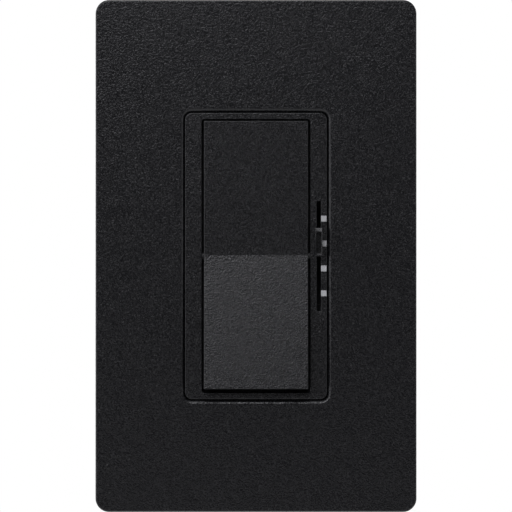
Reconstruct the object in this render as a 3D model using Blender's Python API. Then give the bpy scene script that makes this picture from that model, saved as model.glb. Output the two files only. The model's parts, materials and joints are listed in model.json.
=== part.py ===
"""Slide dimmer with a rocker switch, for a single-gang wall box.

Frame: X to the right, Z up, the front faces -Y.  The back of the cover plate lies on the wall plane y = 0,
and the origin is the centre of the plate on that plane.
"""

import math

import bmesh
import bpy
from mathutils import Matrix, Vector

MM = 0.001  # every size below is in millimetres; finished meshes are in metres

# Cover plate
PLATE_HALF_WIDTH = 37.34
PLATE_HALF_HEIGHT = 59.565
PLATE_DEPTH = 7.6
PLATE_CORNER = 3.2
PLATE_EDGE_ROUND = 0.7
PLATE_FRONT_WALL = 2.0
PLATE_SIDE_WALL = 1.8
WINDOW_HALF_WIDTH = 16.75
WINDOW_HALF_HEIGHT = 33.55
LIP_WIDTH = 1.1
LIP_DEPTH = 0.9

# Device frame, seen through the window
BEZEL_HALF_WIDTH = 16.55
BEZEL_HALF_HEIGHT = 33.35
BEZEL_FRONT = -7.3
BEZEL_BACK = -1.8
BEZEL_FACE_WALL = 2.0
OPENING_HALF_WIDTH = 12.6
OPENING_HALF_HEIGHT = 31.8
SLOT_X = 14.6
SLOT_HALF_WIDTH = 0.475
SLOT_HALF_LENGTH = 12.8

# Rocker paddle: two flat halves that meet in a shallow valley
PADDLE_HALF_WIDTH = 12.1
PADDLE_REACH = 31.45
PADDLE_PIVOT_Y = -4.9
PADDLE_FACE = 3.2
PADDLE_SWING = math.radians(6.5)
PIN_RADIUS = 1.05
POST_RADIUS = 3.2
POST_LENGTH = 8.0
POST_BORE_RADIUS = 1.95

# Slider, shown a little above the middle of its travel
KNOB_BOTTOM = 0.0
KNOB_LENGTH = 6.56
KNOB_HALF_WIDTH = 0.83
KNOB_FRONT = -9.4
LEVER_HALF_THICKNESS = 0.3

# Level marks: four square lugs of one light pipe
MARK_PITCH = 5.79
MARK_HALF_HEIGHT = 0.72
MARK_LEFT = 15.12
MARK_RIGHT = 16.45

# Strap, housing and their screws
YOKE_THICKNESS = 1.5
YOKE_HALF_WIDTH = 28.0
YOKE_HALF_HEIGHT = 34.0
STRAP_HALF_HEIGHT = 52.4
MOUNTING_SCREW_Z = 41.65
PLATE_SCREW_Z = 48.4
ADAPTER_FRONT = -3.6
ADAPTER_BACK = -1.8
SHIELD_HALF_WIDTH = 17.8
SHIELD_HALF_HEIGHT = 34.6
SHIELD_FRONT = -1.78
SHIELD_BACK = -1.52
HOUSING_HALF_WIDTH = 21.75
HOUSING_HALF_HEIGHT = 34.0
HOUSING_FRONT = 0.3
HOUSING_BACK = 27.5
HOUSING_WALL = 1.8
HOUSING_SCREW_X = 14.6
HOUSING_SCREW_Z = 29.0
HOUSING_SCREW_SEAT = 17.0
TERMINAL_Y = 18.4
TRAVELLER_Z = 12.0

# See-saw contact behind the paddle
FULCRUM_Y = 9.6
ARM_TILT = math.radians(6.0)
ARM_HALF_THICKNESS = 0.4
CONTACT_REACH = 10.0
CONTACT_Z = 9.8
CONTACT_RADIUS = 1.6
STRIP_FRONT = 13.6
STRIP_BACK = 14.4

# Circuit board and what stands on it
BOARD_FRONT = 9.0
BOARD_BACK = 10.6
BOARD_HALF_WIDTH = 19.4
BOARD_HALF_HEIGHT = 25.2
LEAD_TAIL = 11.4
LEAD_HOLE_RADIUS = 0.65
LED_PLACE = (15.5, 21.3)
TRIAC_LEG_Z = 16.05
TRIAC_LEG_PITCH = 2.54
TRIAC_RIVET_Z = 28.8
FILM_CAPACITOR_LEADS = ((-15.0, -7.5), (-15.0, 7.5))
TIMING_CAPACITOR_LEADS = ((-16.5, -17.3), (-12.5, -17.3))
RESISTOR_LEADS = ((-17.2, 12.0), (-17.2, 22.0))
DIAC_LEADS = ((-13.2, 13.0), (-13.2, 21.0))

# Toroid choke
CHOKE_CENTRE = Vector((0.0, 18.0, -23.5))
CHOKE_RADIUS = 4.95
CHOKE_HALF_RADIAL = 1.55
CHOKE_HALF_AXIAL = 2.5
CHOKE_TURNS = 12
CHOKE_START = math.radians(120.0)
CHOKE_SWEEP = math.radians(300.0)
WINDING_HALF_RADIAL = 2.15
WINDING_HALF_AXIAL = 3.1
WINDING_CORNER = 0.7
WINDING_WIRE_RADIUS = 0.3


# ---------------------------------------------------------------- modelling helpers

def remove_everything():
    for item in list(bpy.data.objects):
        bpy.data.objects.remove(item, do_unlink=True)


def solid(bm):
    """Turn a bmesh into a working object, in millimetres."""
    bmesh.ops.recalc_face_normals(bm, faces=bm.faces)
    mesh = bpy.data.meshes.new("solid")
    bm.to_mesh(mesh)
    bm.free()
    item = bpy.data.objects.new("solid", mesh)
    bpy.context.collection.objects.link(item)
    return item


def skin(loops, closed=False):
    """Skin a row of point loops; closed joins the last loop to the first, otherwise both ends are capped."""
    bm = bmesh.new()
    rows = [[bm.verts.new(point) for point in loop] for loop in loops]
    pairs = list(zip(rows, rows[1:]))
    if closed:
        pairs.append((rows[-1], rows[0]))
    else:
        bm.faces.new(rows[0])
        bm.faces.new(rows[-1])
    for near, far in pairs:
        for index in range(len(near)):
            after = (index + 1) % len(near)
            bm.faces.new((near[index], near[after], far[after], far[index]))
    return solid(bm)


def rounded_rectangle(half_x, half_z, radius, steps=5, centre=(0.0, 0.0)):
    """Outline of a rectangle with round corners, as (x, z) points."""
    points = []
    for corner in range(4):
        side_x = 1 if corner in (0, 3) else -1
        side_z = 1 if corner in (0, 1) else -1
        for step in range(steps + 1):
            angle = math.radians(90 * corner + 90 * step / steps)
            x = side_x * (half_x - radius) + radius * math.cos(angle)
            z = side_z * (half_z - radius) + radius * math.sin(angle)
            points.append((centre[0] + x, centre[1] + z))
    return points


def at_depth(outline, y):
    return [(x, y, z) for x, z in outline]


def plate(outline, front, back):
    """Extrude an (x, z) outline along Y."""
    return skin([at_depth(outline, front), at_depth(outline, back)])


def profile_along_x(outline, left, right):
    """Extrude a (y, z) outline along X."""
    return skin([[(x, y, z) for y, z in outline] for x in (left, right)])


def block(x_range, y_range, z_range):
    (x0, x1), (z0, z1) = x_range, z_range
    return plate([(x0, z0), (x1, z0), (x1, z1), (x0, z1)], *y_range)


def turned(profile, base, direction, segments=16):
    """Turn (radius, distance) points about a line that starts at base and runs along direction."""
    turn = Vector(direction).to_track_quat("Z", "Y").to_matrix()
    loops = []
    for radius, distance in profile:
        loop = []
        for step in range(segments):
            angle = 2 * math.pi * (step + 0.5) / segments
            local = Vector((radius * math.cos(angle), radius * math.sin(angle), distance))
            loop.append(Vector(base) + turn @ local)
        loops.append(loop)
    return skin(loops)


def rod_y(radius, front, back, x=0.0, z=0.0, segments=16):
    """Round bar or bore cutter along Y."""
    return turned([(radius, 0.0), (radius, back - front)], (x, front, z), (0, 1, 0), segments)


def rod_x(radius, left, right, y=0.0, z=0.0, segments=16):
    """Round bar or bore cutter along X."""
    return turned([(radius, 0.0), (radius, right - left)], (left, y, z), (1, 0, 0), segments)


def wire(points, radius, resolution=1):
    """Round wire with filled ends through a row of points."""
    curve = bpy.data.curves.new("wire", "CURVE")
    curve.dimensions = "3D"
    curve.bevel_depth = radius
    curve.bevel_resolution = resolution
    curve.use_fill_caps = True
    spline = curve.splines.new("POLY")
    spline.points.add(len(points) - 1)
    for target, point in zip(spline.points, points):
        target.co = (*point, 1.0)
    guide = bpy.data.objects.new("wire", curve)
    bpy.context.collection.objects.link(guide)
    graph = bpy.context.evaluated_depsgraph_get()
    mesh = bpy.data.meshes.new_from_object(guide.evaluated_get(graph))
    bpy.data.objects.remove(guide, do_unlink=True)
    bm = bmesh.new()
    bm.from_mesh(mesh)
    bmesh.ops.remove_doubles(bm, verts=bm.verts, dist=0.001)
    bpy.data.meshes.remove(mesh)
    return solid(bm)


def boolean(base, tools, operation):
    """Join tools to a solid, or cut them out of it, one after the other."""
    for tool in tools:
        step = base.modifiers.new(operation, "BOOLEAN")
        step.operation = operation
        step.solver = "EXACT"
        step.object = tool
        graph = bpy.context.evaluated_depsgraph_get()
        result = bpy.data.meshes.new_from_object(base.evaluated_get(graph))
        base.modifiers.remove(step)
        spent = base.data
        base.data = result
        bpy.data.meshes.remove(spent)
        bpy.data.objects.remove(tool, do_unlink=True)
    return base


def join(base, *tools):
    return boolean(base, tools, "UNION")


def cut(base, *tools):
    return boolean(base, tools, "DIFFERENCE")


def bevel(item, width, chosen, segments=1):
    """Bevel the edges that chosen accepts."""
    bm = bmesh.new()
    bm.from_mesh(item.data)
    edges = [edge for edge in bm.edges if chosen(edge)]
    bmesh.ops.bevel(bm, geom=edges, offset=width, segments=segments, profile=0.5, affect="EDGES")
    bm.to_mesh(item.data)
    bm.free()
    return item


def is_sharp(edge):
    return edge.calc_face_angle(0.0) > math.radians(30)


def is_front_edge(edge):
    """Sharp edges around the paddle's face, but not the valley across its middle."""
    on_face = all(vert.co.y < -2.0 for vert in edge.verts)
    across_middle = all(abs(vert.co.z) < 1.0 for vert in edge.verts)
    return on_face and not across_middle and is_sharp(edge)


def guide(name, y, tilt=0.0):
    """Empty that stands on a moving piece's joint axis."""
    empty = bpy.data.objects.new(name, None)
    empty.empty_display_size = 0.01
    empty.location = (0.0, y * MM, 0.0)
    empty.rotation_euler = (tilt, 0.0, 0.0)
    bpy.context.collection.objects.link(empty)
    return empty


def finish(item, name, material, parent=None):
    """Name a solid, bring it to metres, shade it and give it its material and parent."""
    bm = bmesh.new()
    bm.from_mesh(item.data)
    bmesh.ops.remove_doubles(bm, verts=bm.verts, dist=0.0005)
    bmesh.ops.dissolve_degenerate(bm, dist=0.0005, edges=bm.edges)
    bm.to_mesh(item.data)
    bm.free()
    item.data.transform(Matrix.Scale(MM, 4))
    item.data.shade_smooth()
    item.data.set_sharp_from_angle(angle=math.radians(35))
    item.data.materials.clear()
    item.data.materials.append(material)
    item.data.name = name
    item.name = name
    item.parent = parent
    return item


def surface(name, colour, roughness, metallic=0.0):
    material = bpy.data.materials.new(name)
    material.use_nodes = True
    shader = material.node_tree.nodes["Principled BSDF"]
    shader.inputs["Base Color"].default_value = (*colour, 1.0)
    shader.inputs["Roughness"].default_value = roughness
    shader.inputs["Metallic"].default_value = metallic
    return material


def make_materials():
    return {
        "black_plate": surface("black_plate", (0.017, 0.017, 0.018), 0.55),
        "black_device": surface("black_device", (0.014, 0.014, 0.015), 0.5),
        "black_adapter": surface("black_adapter", (0.03, 0.03, 0.032), 0.6),
        "housing_grey": surface("housing_grey", (0.05, 0.05, 0.055), 0.6),
        "switch_phenolic": surface("switch_phenolic", (0.09, 0.03, 0.015), 0.6),
        "clear_light_pipe": surface("clear_light_pipe", (0.35, 0.35, 0.36), 0.35),
        "white_acetal": surface("white_acetal", (0.75, 0.75, 0.72), 0.4),
        "aluminium_strap": surface("aluminium_strap", (0.75, 0.76, 0.78), 0.4, 1.0),
        "zinc_steel": surface("zinc_steel", (0.6, 0.61, 0.63), 0.35, 1.0),
        "black_screw": surface("black_screw", (0.05, 0.05, 0.05), 0.4, 1.0),
        "green_screw": surface("green_screw", (0.02, 0.25, 0.07), 0.4, 0.6),
        "terminal_brass": surface("terminal_brass", (0.72, 0.5, 0.2), 0.35, 1.0),
        "contact_silver": surface("contact_silver", (0.85, 0.84, 0.82), 0.3, 1.0),
        "spring_steel": surface("spring_steel", (0.5, 0.5, 0.52), 0.3, 1.0),
        "winding_copper": surface("winding_copper", (0.7, 0.27, 0.12), 0.35, 1.0),
        "ferrite": surface("ferrite", (0.06, 0.06, 0.065), 0.7),
        "board_green": surface("board_green", (0.02, 0.14, 0.05), 0.5),
        "fibre_red": surface("fibre_red", (0.3, 0.07, 0.03), 0.7),
        "pad_grey": surface("pad_grey", (0.4, 0.4, 0.42), 0.8),
        "epoxy_black": surface("epoxy_black", (0.02, 0.02, 0.02), 0.5),
        "capacitor_blue": surface("capacitor_blue", (0.03, 0.1, 0.35), 0.35),
        "resistor_tan": surface("resistor_tan", (0.6, 0.42, 0.22), 0.5),
        "diac_glass": surface("diac_glass", (0.35, 0.08, 0.03), 0.2),
        "led_white": surface("led_white", (0.7, 0.72, 0.7), 0.25),
        "track_black": surface("track_black", (0.03, 0.03, 0.03), 0.5),
    }


# ---------------------------------------------------------------- cover plate and adapter

def make_wallplate(look, parent):
    """Screwless cover: a hollow tray with a rounded edge and a window with a rounded lip."""
    loops = [at_depth(rounded_rectangle(PLATE_HALF_WIDTH, PLATE_HALF_HEIGHT, PLATE_CORNER), 0.0)]
    for step in range(4):
        angle = math.radians(30 * step)
        inset = PLATE_EDGE_ROUND * (1 - math.cos(angle))
        depth = PLATE_DEPTH - PLATE_EDGE_ROUND * (1 - math.sin(angle))
        outline = rounded_rectangle(PLATE_HALF_WIDTH - inset, PLATE_HALF_HEIGHT - inset, PLATE_CORNER - inset)
        loops.append(at_depth(outline, -depth))
    for step in range(4):
        angle = math.radians(30 * step)
        spread = LIP_WIDTH * (1 - math.sin(angle))
        depth = PLATE_DEPTH - LIP_DEPTH * (1 - math.cos(angle))
        outline = rounded_rectangle(WINDOW_HALF_WIDTH + spread, WINDOW_HALF_HEIGHT + spread, 1.85 + spread)
        loops.append(at_depth(outline, -depth))
    wall_back = PLATE_FRONT_WALL - PLATE_DEPTH
    loops.append(at_depth(rounded_rectangle(WINDOW_HALF_WIDTH, WINDOW_HALF_HEIGHT, 1.85), wall_back))
    inner = rounded_rectangle(PLATE_HALF_WIDTH - PLATE_SIDE_WALL, PLATE_HALF_HEIGHT - PLATE_SIDE_WALL, 1.6)
    loops.append(at_depth(inner, wall_back))
    loops.append(at_depth(inner, 0.0))
    cover = skin(loops, closed=True)
    inner_x = PLATE_HALF_WIDTH - PLATE_SIDE_WALL
    grip_ribs = [
        block(sorted((side * (inner_x - 0.55), side * (inner_x + 0.6))), (-4.0, -0.9), (z - 4.0, z + 4.0))
        for side in (-1, 1)
        for z in (-30.0, 30.0)
    ]
    stiffeners = [block((-33.0, 33.0), (-5.9, -4.4), (z - 0.6, z + 0.6)) for z in (-53.5, 53.5)]
    join(cover, *grip_ribs, *stiffeners)
    pry_notch = block((-3.5, 3.5), (-1.3, 0.5), (-PLATE_HALF_HEIGHT - 1.0, 2.2 - PLATE_HALF_HEIGHT))
    cut(cover, pry_notch)
    return finish(cover, "wallplate", look["black_plate"], parent)


def make_adapter(look):
    """Sub-plate screwed to the strap; the cover's ribs grip its long edges."""
    outer = rounded_rectangle(34.6, 56.6, 2.5)
    window = rounded_rectangle(17.1, 34.0, 1.5)
    loops = [
        at_depth(outer, ADAPTER_BACK), at_depth(outer, ADAPTER_FRONT),
        at_depth(window, ADAPTER_FRONT), at_depth(window, ADAPTER_BACK),
    ]
    body = skin(loops, closed=True)
    rails = [block(sorted((side * 32.8, side * 34.4)), (-4.7, -3.4), (-24.0, 24.0)) for side in (-1, 1)]
    join(body, *rails)
    for side in (-1, 1):
        head_clearance = rod_y(3.6, -4.0, -1.5, z=side * MOUNTING_SCREW_Z)
        countersink = turned([(2.9, 0.0), (2.9, 0.3), (1.75, 1.45), (1.75, 2.5)],
                             (0, ADAPTER_FRONT - 0.2, side * PLATE_SCREW_Z), (0, 1, 0))
        detents = [block(sorted((x_side * 34.1, x_side * 35.0)), (-4.0, -1.5), (side * 30 - 5, side * 30 + 5))
                   for x_side in (-1, 1)]
        cut(body, head_clearance, countersink, *detents)
    return finish(body, "wallplate_adapter", look["black_adapter"])


def make_adapter_screws(look):
    """Flat-head screws that hold the adapter to the strap's threaded holes."""
    profile = [(2.55, 0.0), (2.55, 0.2), (1.5, 1.25), (1.5, 7.6), (1.1, 8.1)]
    for name, z in (("adapter_screw_top", PLATE_SCREW_Z), ("adapter_screw_bottom", -PLATE_SCREW_Z)):
        screw = turned(profile, (0, ADAPTER_FRONT + 0.05, z), (0, 1, 0))
        cut(screw, block((-2.2, 2.2), (ADAPTER_FRONT - 0.5, ADAPTER_FRONT + 0.55), (z - 0.35, z + 0.35)))
        finish(screw, name, look["black_screw"])


# ---------------------------------------------------------------- strap

def make_yoke(look):
    """Aluminium strap and heat sink with break-off fins, mounting ears and a bent ground tab."""
    front = -YOKE_THICKNESS
    body = plate(rounded_rectangle(YOKE_HALF_WIDTH, YOKE_HALF_HEIGHT, 2.5), front, 0.0)
    for side in (-1, 1):
        ear = plate(rounded_rectangle(17.0, 12.4, 3.0, centre=(0, side * (STRAP_HALF_HEIGHT - 12.4))), front, 0.0)
        join(body, ear)
        notches = [block(sorted((x_side * 11.5, x_side * 18)), (-2, 1), sorted((side * 37.0, side * 44.0)))
                   for x_side in (-1, 1)]
        mounting_slot = plate(
            rounded_rectangle(3.5, 2.1, 2.09, centre=(0, side * MOUNTING_SCREW_Z)), front - 1, 1.0)
        plate_screw_hole = rod_y(1.75, front - 1, 1.0, z=side * PLATE_SCREW_Z)
        cut(body, *notches, mounting_slot, plate_screw_hole)
        for z in (-20.0, 0.0, 20.0):
            cut(body, block((side * 22.6 - 0.5, side * 22.6 + 0.5), (-2, 1), (z - 7.0, z + 7.0)))
        for x in (-HOUSING_SCREW_X, HOUSING_SCREW_X):
            cut(body, rod_y(1.35, front - 1, 1.0, x=x, z=side * HOUSING_SCREW_Z))
    tab_foot = block((14.5, 22.5), (front, 0.0), (-36.4, -33.0))
    tab = block((14.5, 22.5), (front, 9.0), (-36.4, -35.2))
    join(body, tab_foot, tab)
    ground_hole = turned([(1.75, 0.0), (1.75, 3.0)], (18.5, 4.6, -37.5), (0, 0, 1))
    post_opening = plate(rounded_rectangle(5.2, 6.5, 1.0), front - 1, 1.0)
    lever_slot = block((SLOT_X - 0.7, SLOT_X + 0.7), (-3, 1), (-12.0, 12.0))
    light_window = block((14.8, 16.3), (-3, 1), (19.9, 22.8))
    rivet_hole = rod_y(1.45, front - 1, 1.0, z=TRIAC_RIVET_Z)
    cut(body, ground_hole, post_opening, lever_slot, light_window, rivet_hole)
    return finish(body, "yoke", look["aluminium_strap"])


def make_dust_shield(look):
    """Thin black sheet between frame and strap, which keeps dust and light out of the gaps round the paddle."""
    outline = rounded_rectangle(SHIELD_HALF_WIDTH, SHIELD_HALF_HEIGHT, 1.0)
    sheet = plate(outline, SHIELD_FRONT, SHIELD_BACK)
    post_opening = plate(rounded_rectangle(5.2, 6.5, 1.0), SHIELD_FRONT - 1, SHIELD_BACK + 1)
    lever_slot = block((SLOT_X - 0.6, SLOT_X + 0.6), (-3, 1), (-11.4, 11.4))
    light_window = block((15.0, 16.0), (-3, 1), (20.05, 22.55))
    rivet_hole = rod_y(3.4, SHIELD_FRONT - 1, SHIELD_BACK + 1, z=TRIAC_RIVET_Z)
    screw_holes = [rod_y(1.35, SHIELD_FRONT - 1, SHIELD_BACK + 1, x=x, z=z)
                   for x in (-HOUSING_SCREW_X, HOUSING_SCREW_X) for z in (-HOUSING_SCREW_Z, HOUSING_SCREW_Z)]
    cut(sheet, post_opening, lever_slot, light_window, rivet_hole, *screw_holes)
    finish(sheet, "dust_shield", look["black_adapter"])


def make_mounting_screws(look):
    """Long screws for the wall box, each held in its slot by a fibre square."""
    profile = [(2.3, 0.0), (3.1, 0.5), (3.3, 1.1), (3.3, 1.85), (1.65, 1.9), (1.65, 26.6), (1.1, 27.4)]
    for end, z in (("top", MOUNTING_SCREW_Z), ("bottom", -MOUNTING_SCREW_Z)):
        screw = turned(profile, (0, -3.5, z), (0, 1, 0))
        cut(screw, block((-2.6, 2.6), (-4.0, -2.7), (z - 0.4, z + 0.4)))
        finish(screw, "mounting_screw_" + end, look["zinc_steel"])
        retainer = plate(rounded_rectangle(4.75, 4.75, 0.8, steps=2, centre=(0, z)), 0.25, 1.05)
        cut(retainer, rod_y(1.95, 0.0, 1.5, z=z))
        finish(retainer, "screw_retainer_" + end, look["fibre_red"])


def make_ground_screw(look):
    profile = [(2.9, 0.0), (3.4, 0.5), (3.4, 2.1), (1.5, 2.15), (1.5, 4.2)]
    screw = turned(profile, (18.5, 4.6, -38.75), (0, 0, 1))
    cut(screw, block((15.9, 21.1), (4.2, 5.0), (-39.5, -38.0)))
    finish(screw, "ground_screw", look["green_screw"])


# ---------------------------------------------------------------- device frame and light pipe

def mark_heights():
    return [MARK_PITCH * (index - 1.5) for index in range(4)]


def make_bezel(look):
    """Device frame: paddle opening, slider slot, windows for the level marks, and screw bosses."""
    loops = []
    for inset, y in ((0.0, BEZEL_BACK), (0.0, BEZEL_FRONT + 0.25), (0.25, BEZEL_FRONT)):
        outline = rounded_rectangle(BEZEL_HALF_WIDTH - inset, BEZEL_HALF_HEIGHT - inset, 1.67 - inset)
        loops.append(at_depth(outline, y))
    for spread, y in ((0.15, BEZEL_FRONT), (0.0, BEZEL_FRONT + 0.15), (0.0, BEZEL_BACK)):
        outline = rounded_rectangle(OPENING_HALF_WIDTH + spread, OPENING_HALF_HEIGHT + spread, 0.6 + spread)
        loops.append(at_depth(outline, y))
    body = skin(loops, closed=True)
    wall_back = BEZEL_FRONT + BEZEL_FACE_WALL
    slot = block((SLOT_X - SLOT_HALF_WIDTH, SLOT_X + SLOT_HALF_WIDTH), (-8, -1),
                 (-SLOT_HALF_LENGTH, SLOT_HALF_LENGTH))
    spine_pocket = block((15.0, 15.95), (wall_back, -1), (-10.3, 22.7))
    cut(body, slot, spine_pocket)
    for z in mark_heights():
        window_half = MARK_HALF_HEIGHT + 0.08
        cut(body, block((15.0, 17.0), (-8, wall_back + 0.05), (z - window_half, z + window_half)))
    cut(body, rod_x(PIN_RADIUS + 0.1, -13.55, 13.55, y=PADDLE_PIVOT_Y))
    for z in (-14.0, 14.0):
        cut(body, block((-15.8, -13.9), (wall_back, -1), (z - 10.5, z + 10.5)))
    for x in (-HOUSING_SCREW_X, HOUSING_SCREW_X):
        for z in (-HOUSING_SCREW_Z, HOUSING_SCREW_Z):
            cut(body, rod_y(1.3, -6.0, -1.0, x=x, z=z))
    return finish(body, "bezel", look["black_device"])


def make_light_pipe(look):
    """Clear strip behind the face: four square lugs show as level marks, one leg reaches the lamp."""
    strip = block((15.25, 15.85), (-5.15, -2.6), (-10.0, 22.4))
    leg = block((15.15, 15.85), (-2.8, 5.3), (20.2, 22.4))
    join(strip, leg)
    for z in mark_heights():
        z_range = (z - MARK_HALF_HEIGHT, z + MARK_HALF_HEIGHT)
        neck = block((15.25, 15.85), (-5.6, -5.0), z_range)
        lug = block((MARK_LEFT, MARK_RIGHT), (BEZEL_FRONT + 0.08, -5.4), z_range)
        join(strip, neck, lug)
    return finish(strip, "light_pipe", look["clear_light_pipe"])


# ---------------------------------------------------------------- paddle

def paddle_outline():
    """Side outline about the pivot, as (y, z): valley face, round ends and a flat rim."""
    tilt = PADDLE_SWING / 2
    corner_y = PADDLE_FACE * math.cos(tilt) + PADDLE_REACH * math.sin(tilt)
    corner_z = PADDLE_REACH * math.cos(tilt) - PADDLE_FACE * math.sin(tilt)
    radius = math.hypot(corner_y, corner_z)
    start = math.atan2(corner_y, corner_z)
    end = -math.asin(1.0 / radius)
    arc = []
    for step in range(5):
        angle = start + (end - start) * step / 4
        arc.append((-radius * math.sin(angle), radius * math.cos(angle)))
    lower = [(y, -z) for y, z in reversed(arc)]
    return [(-PADDLE_FACE / math.cos(tilt), 0.0)] + arc + lower


def make_rocker_paddle(look, parent):
    """Rocker: ribbed shell, pivot pins and a bored post that carries the plunger."""
    body = profile_along_x(paddle_outline(), -PADDLE_HALF_WIDTH, PADDLE_HALF_WIDTH)
    bevel(body, 0.25, is_front_edge)
    for side in (-1, 1):
        pocket = [(1.5, side * 4.6), (-1.6, side * 4.6), (-3.05, side * 29.8), (1.5, side * 29.8)]
        cut(body, profile_along_x(pocket, -10.4, -0.6), profile_along_x(pocket, 0.6, 10.4))
    post = rod_y(POST_RADIUS, 0.0, POST_LENGTH)
    pins = [rod_x(PIN_RADIUS, *sorted((side * 11.5, side * 13.4))) for side in (-1, 1)]
    join(body, post, *pins)
    cut(body, rod_y(POST_BORE_RADIUS, 1.2, POST_LENGTH + 0.1))
    return finish(body, "rocker_paddle", look["black_device"], parent)


def make_plunger(look, parent):
    profile = [(1.45, 0.0), (1.75, 0.3), (1.75, 6.9), (1.6, 7.55), (1.1, 8.1), (0.45, 8.35)]
    plunger = turned(profile, (0, 5.5, 0), (0, 1, 0))
    finish(plunger, "plunger", look["white_acetal"], parent)


def make_plunger_spring(look, parent):
    """Compression spring between the bore's end and the plunger."""
    turns, per_turn = 5, 10
    points = []
    for index in range(turns * per_turn + 1):
        angle = 2 * math.pi * index / per_turn
        y = 1.65 + 3.4 * index / (turns * per_turn)
        points.append((1.35 * math.cos(angle), y, 1.35 * math.sin(angle)))
    finish(wire(points, 0.2), "plunger_spring", look["spring_steel"], parent)


# ---------------------------------------------------------------- slider

def make_slider_knob(look, parent):
    """Finger knob with a pocket between two ridges, and two prongs down through the slot."""
    top = KNOB_BOTTOM + KNOB_LENGTH
    knob = block((SLOT_X - KNOB_HALF_WIDTH, SLOT_X + KNOB_HALF_WIDTH), (KNOB_FRONT, BEZEL_FRONT - 0.15),
                 (KNOB_BOTTOM, top))
    bevel(knob, 0.12, is_sharp)
    cut(knob, block((SLOT_X - 0.55, SLOT_X + 0.55), (KNOB_FRONT - 1, KNOB_FRONT + 1.3),
                    (KNOB_BOTTOM + 0.72, top - 0.94)))
    prongs = [block((SLOT_X - LEVER_HALF_THICKNESS, SLOT_X + LEVER_HALF_THICKNESS), (-7.8, -2.4), (z, z + 1.2))
              for z in (KNOB_BOTTOM + 0.9, KNOB_BOTTOM + 4.5)]
    join(knob, *prongs)
    finish(knob, "slider_knob", look["black_device"], parent)


def make_slider_lever(look, parent):
    """Lever of the slide control: a blade in the slot and the carriage inside the control."""
    blade = block((SLOT_X - LEVER_HALF_THICKNESS, SLOT_X + LEVER_HALF_THICKNESS), (-6.9, 3.5), (2.4, 4.2))
    carriage = block((12.8, 16.4), (2.2, 5.0), (0.4, 6.2))
    join(carriage, blade)
    finish(carriage, "slider_lever", look["white_acetal"], parent)


def make_wiper_contact(look, parent):
    """Sprung brass wiper under the carriage, bent back so that its fingers touch the track."""
    outline = [(5.15, 1.0), (5.45, 1.0), (5.45, 4.4), (6.55, 5.5), (6.95, 5.5), (6.95, 5.8), (6.35, 5.8), (5.15, 4.6)]
    strip = profile_along_x(outline, 13.3, 15.9)
    cut(strip, block((14.4, 14.8), (5.8, 7.5), (4.0, 6.5)))
    finish(strip, "wiper_contact", look["terminal_brass"], parent)


def make_slide_control(look):
    """Housing of the slide potentiometer, open at the back, and the track plate that closes it."""
    body = block((11.6, 17.6), (0.7, 7.0), (-17.0, 17.0))
    cavity = block((12.5, 16.7), (1.7, 7.5), (-15.8, 15.8))
    lever_way = block((SLOT_X - 0.6, SLOT_X + 0.6), (0.0, 2.5), (-11.4, 11.4))
    cut(body, cavity, lever_way)
    finish(body, "potentiometer_housing", look["zinc_steel"])
    track = block((11.6, 17.6), (7.2, 8.0), (-17.0, 17.0))
    finish(track, "resistive_track", look["track_black"])


# ---------------------------------------------------------------- switch

def make_contact_arm(look, parent):
    """See-saw strip about its own middle, with locating ears and two rivet holes."""
    strip = block((-2.4, 2.4), (-ARM_HALF_THICKNESS, ARM_HALF_THICKNESS), (-11.8, 11.8))
    ears = block((-3.1, 3.1), (-ARM_HALF_THICKNESS, ARM_HALF_THICKNESS), (-1.2, 1.2))
    join(strip, ears)
    cut(strip, *[rod_y(0.75, -1, 1, z=side * CONTACT_REACH, segments=12) for side in (-1, 1)])
    finish(strip, "contact_arm", look["terminal_brass"], parent)


def make_moving_contacts(look, parent):
    """Silver rivets through the ends of the see-saw."""
    profile = [(0.9, 0.0), (1.1, 0.2), (1.1, 0.8), (0.6, 0.8), (0.6, 1.8), (CONTACT_RADIUS, 1.8),
               (CONTACT_RADIUS, 2.4), (1.2, 2.7)]
    for name, side in (("moving_contact_upper", 1), ("moving_contact_lower", -1)):
        rivet = turned(profile, (0, -1.3, side * CONTACT_REACH), (0, 1, 0), segments=12)
        finish(rivet, name, look["contact_silver"], parent)


def make_travellers(look):
    """Stamped strips that carry the fixed contacts out to the side terminals."""
    button_profile = [(1.2, 0.0), (CONTACT_RADIUS, 0.3), (CONTACT_RADIUS, 1.1), (0.6, 1.1), (0.6, 2.2),
                      (1.1, 2.2), (1.1, 2.7)]
    for name, side in (("upper", 1), ("lower", -1)):
        strip_z = sorted((side * (CONTACT_Z - 2.0), side * (CONTACT_Z + 2.0)))
        strip = block((-2.5, 17.9), (STRIP_FRONT, STRIP_BACK), strip_z)
        screw_plate = block((17.1, 17.9), (STRIP_FRONT, 23.6), (side * TRAVELLER_Z - 4.6, side * TRAVELLER_Z + 4.6))
        join(strip, screw_plate)
        cut(strip, rod_x(1.65, 16, 19, y=TERMINAL_Y, z=side * TRAVELLER_Z),
            rod_y(0.75, 13, 15, z=side * CONTACT_Z, segments=12))
        finish(strip, "traveller_terminal_" + name, look["terminal_brass"])
        button = turned(button_profile, (0, 12.35, side * CONTACT_Z), (0, 1, 0), segments=12)
        finish(button, "fixed_contact_" + name, look["contact_silver"])


def make_common_terminal(look):
    """Strip from the left terminal to the knife edge that the see-saw rocks on."""
    strip = block((-17.9, 2.5), (STRIP_FRONT, STRIP_BACK), (-2.0, 2.0))
    screw_plate = block((-17.9, -17.1), (STRIP_FRONT, 23.6), (-4.6, 4.6))
    edge = FULCRUM_Y + ARM_HALF_THICKNESS + 0.2
    knife = profile_along_x([(edge, 0.0), (edge + 0.8, 0.5), (14.0, 0.5), (14.0, -0.5), (edge + 0.8, -0.5)],
                            -2.0, 2.0)
    join(strip, screw_plate, knife)
    cut(strip, rod_x(1.65, -19, -16, y=TERMINAL_Y))
    finish(strip, "common_terminal", look["terminal_brass"])


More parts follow.
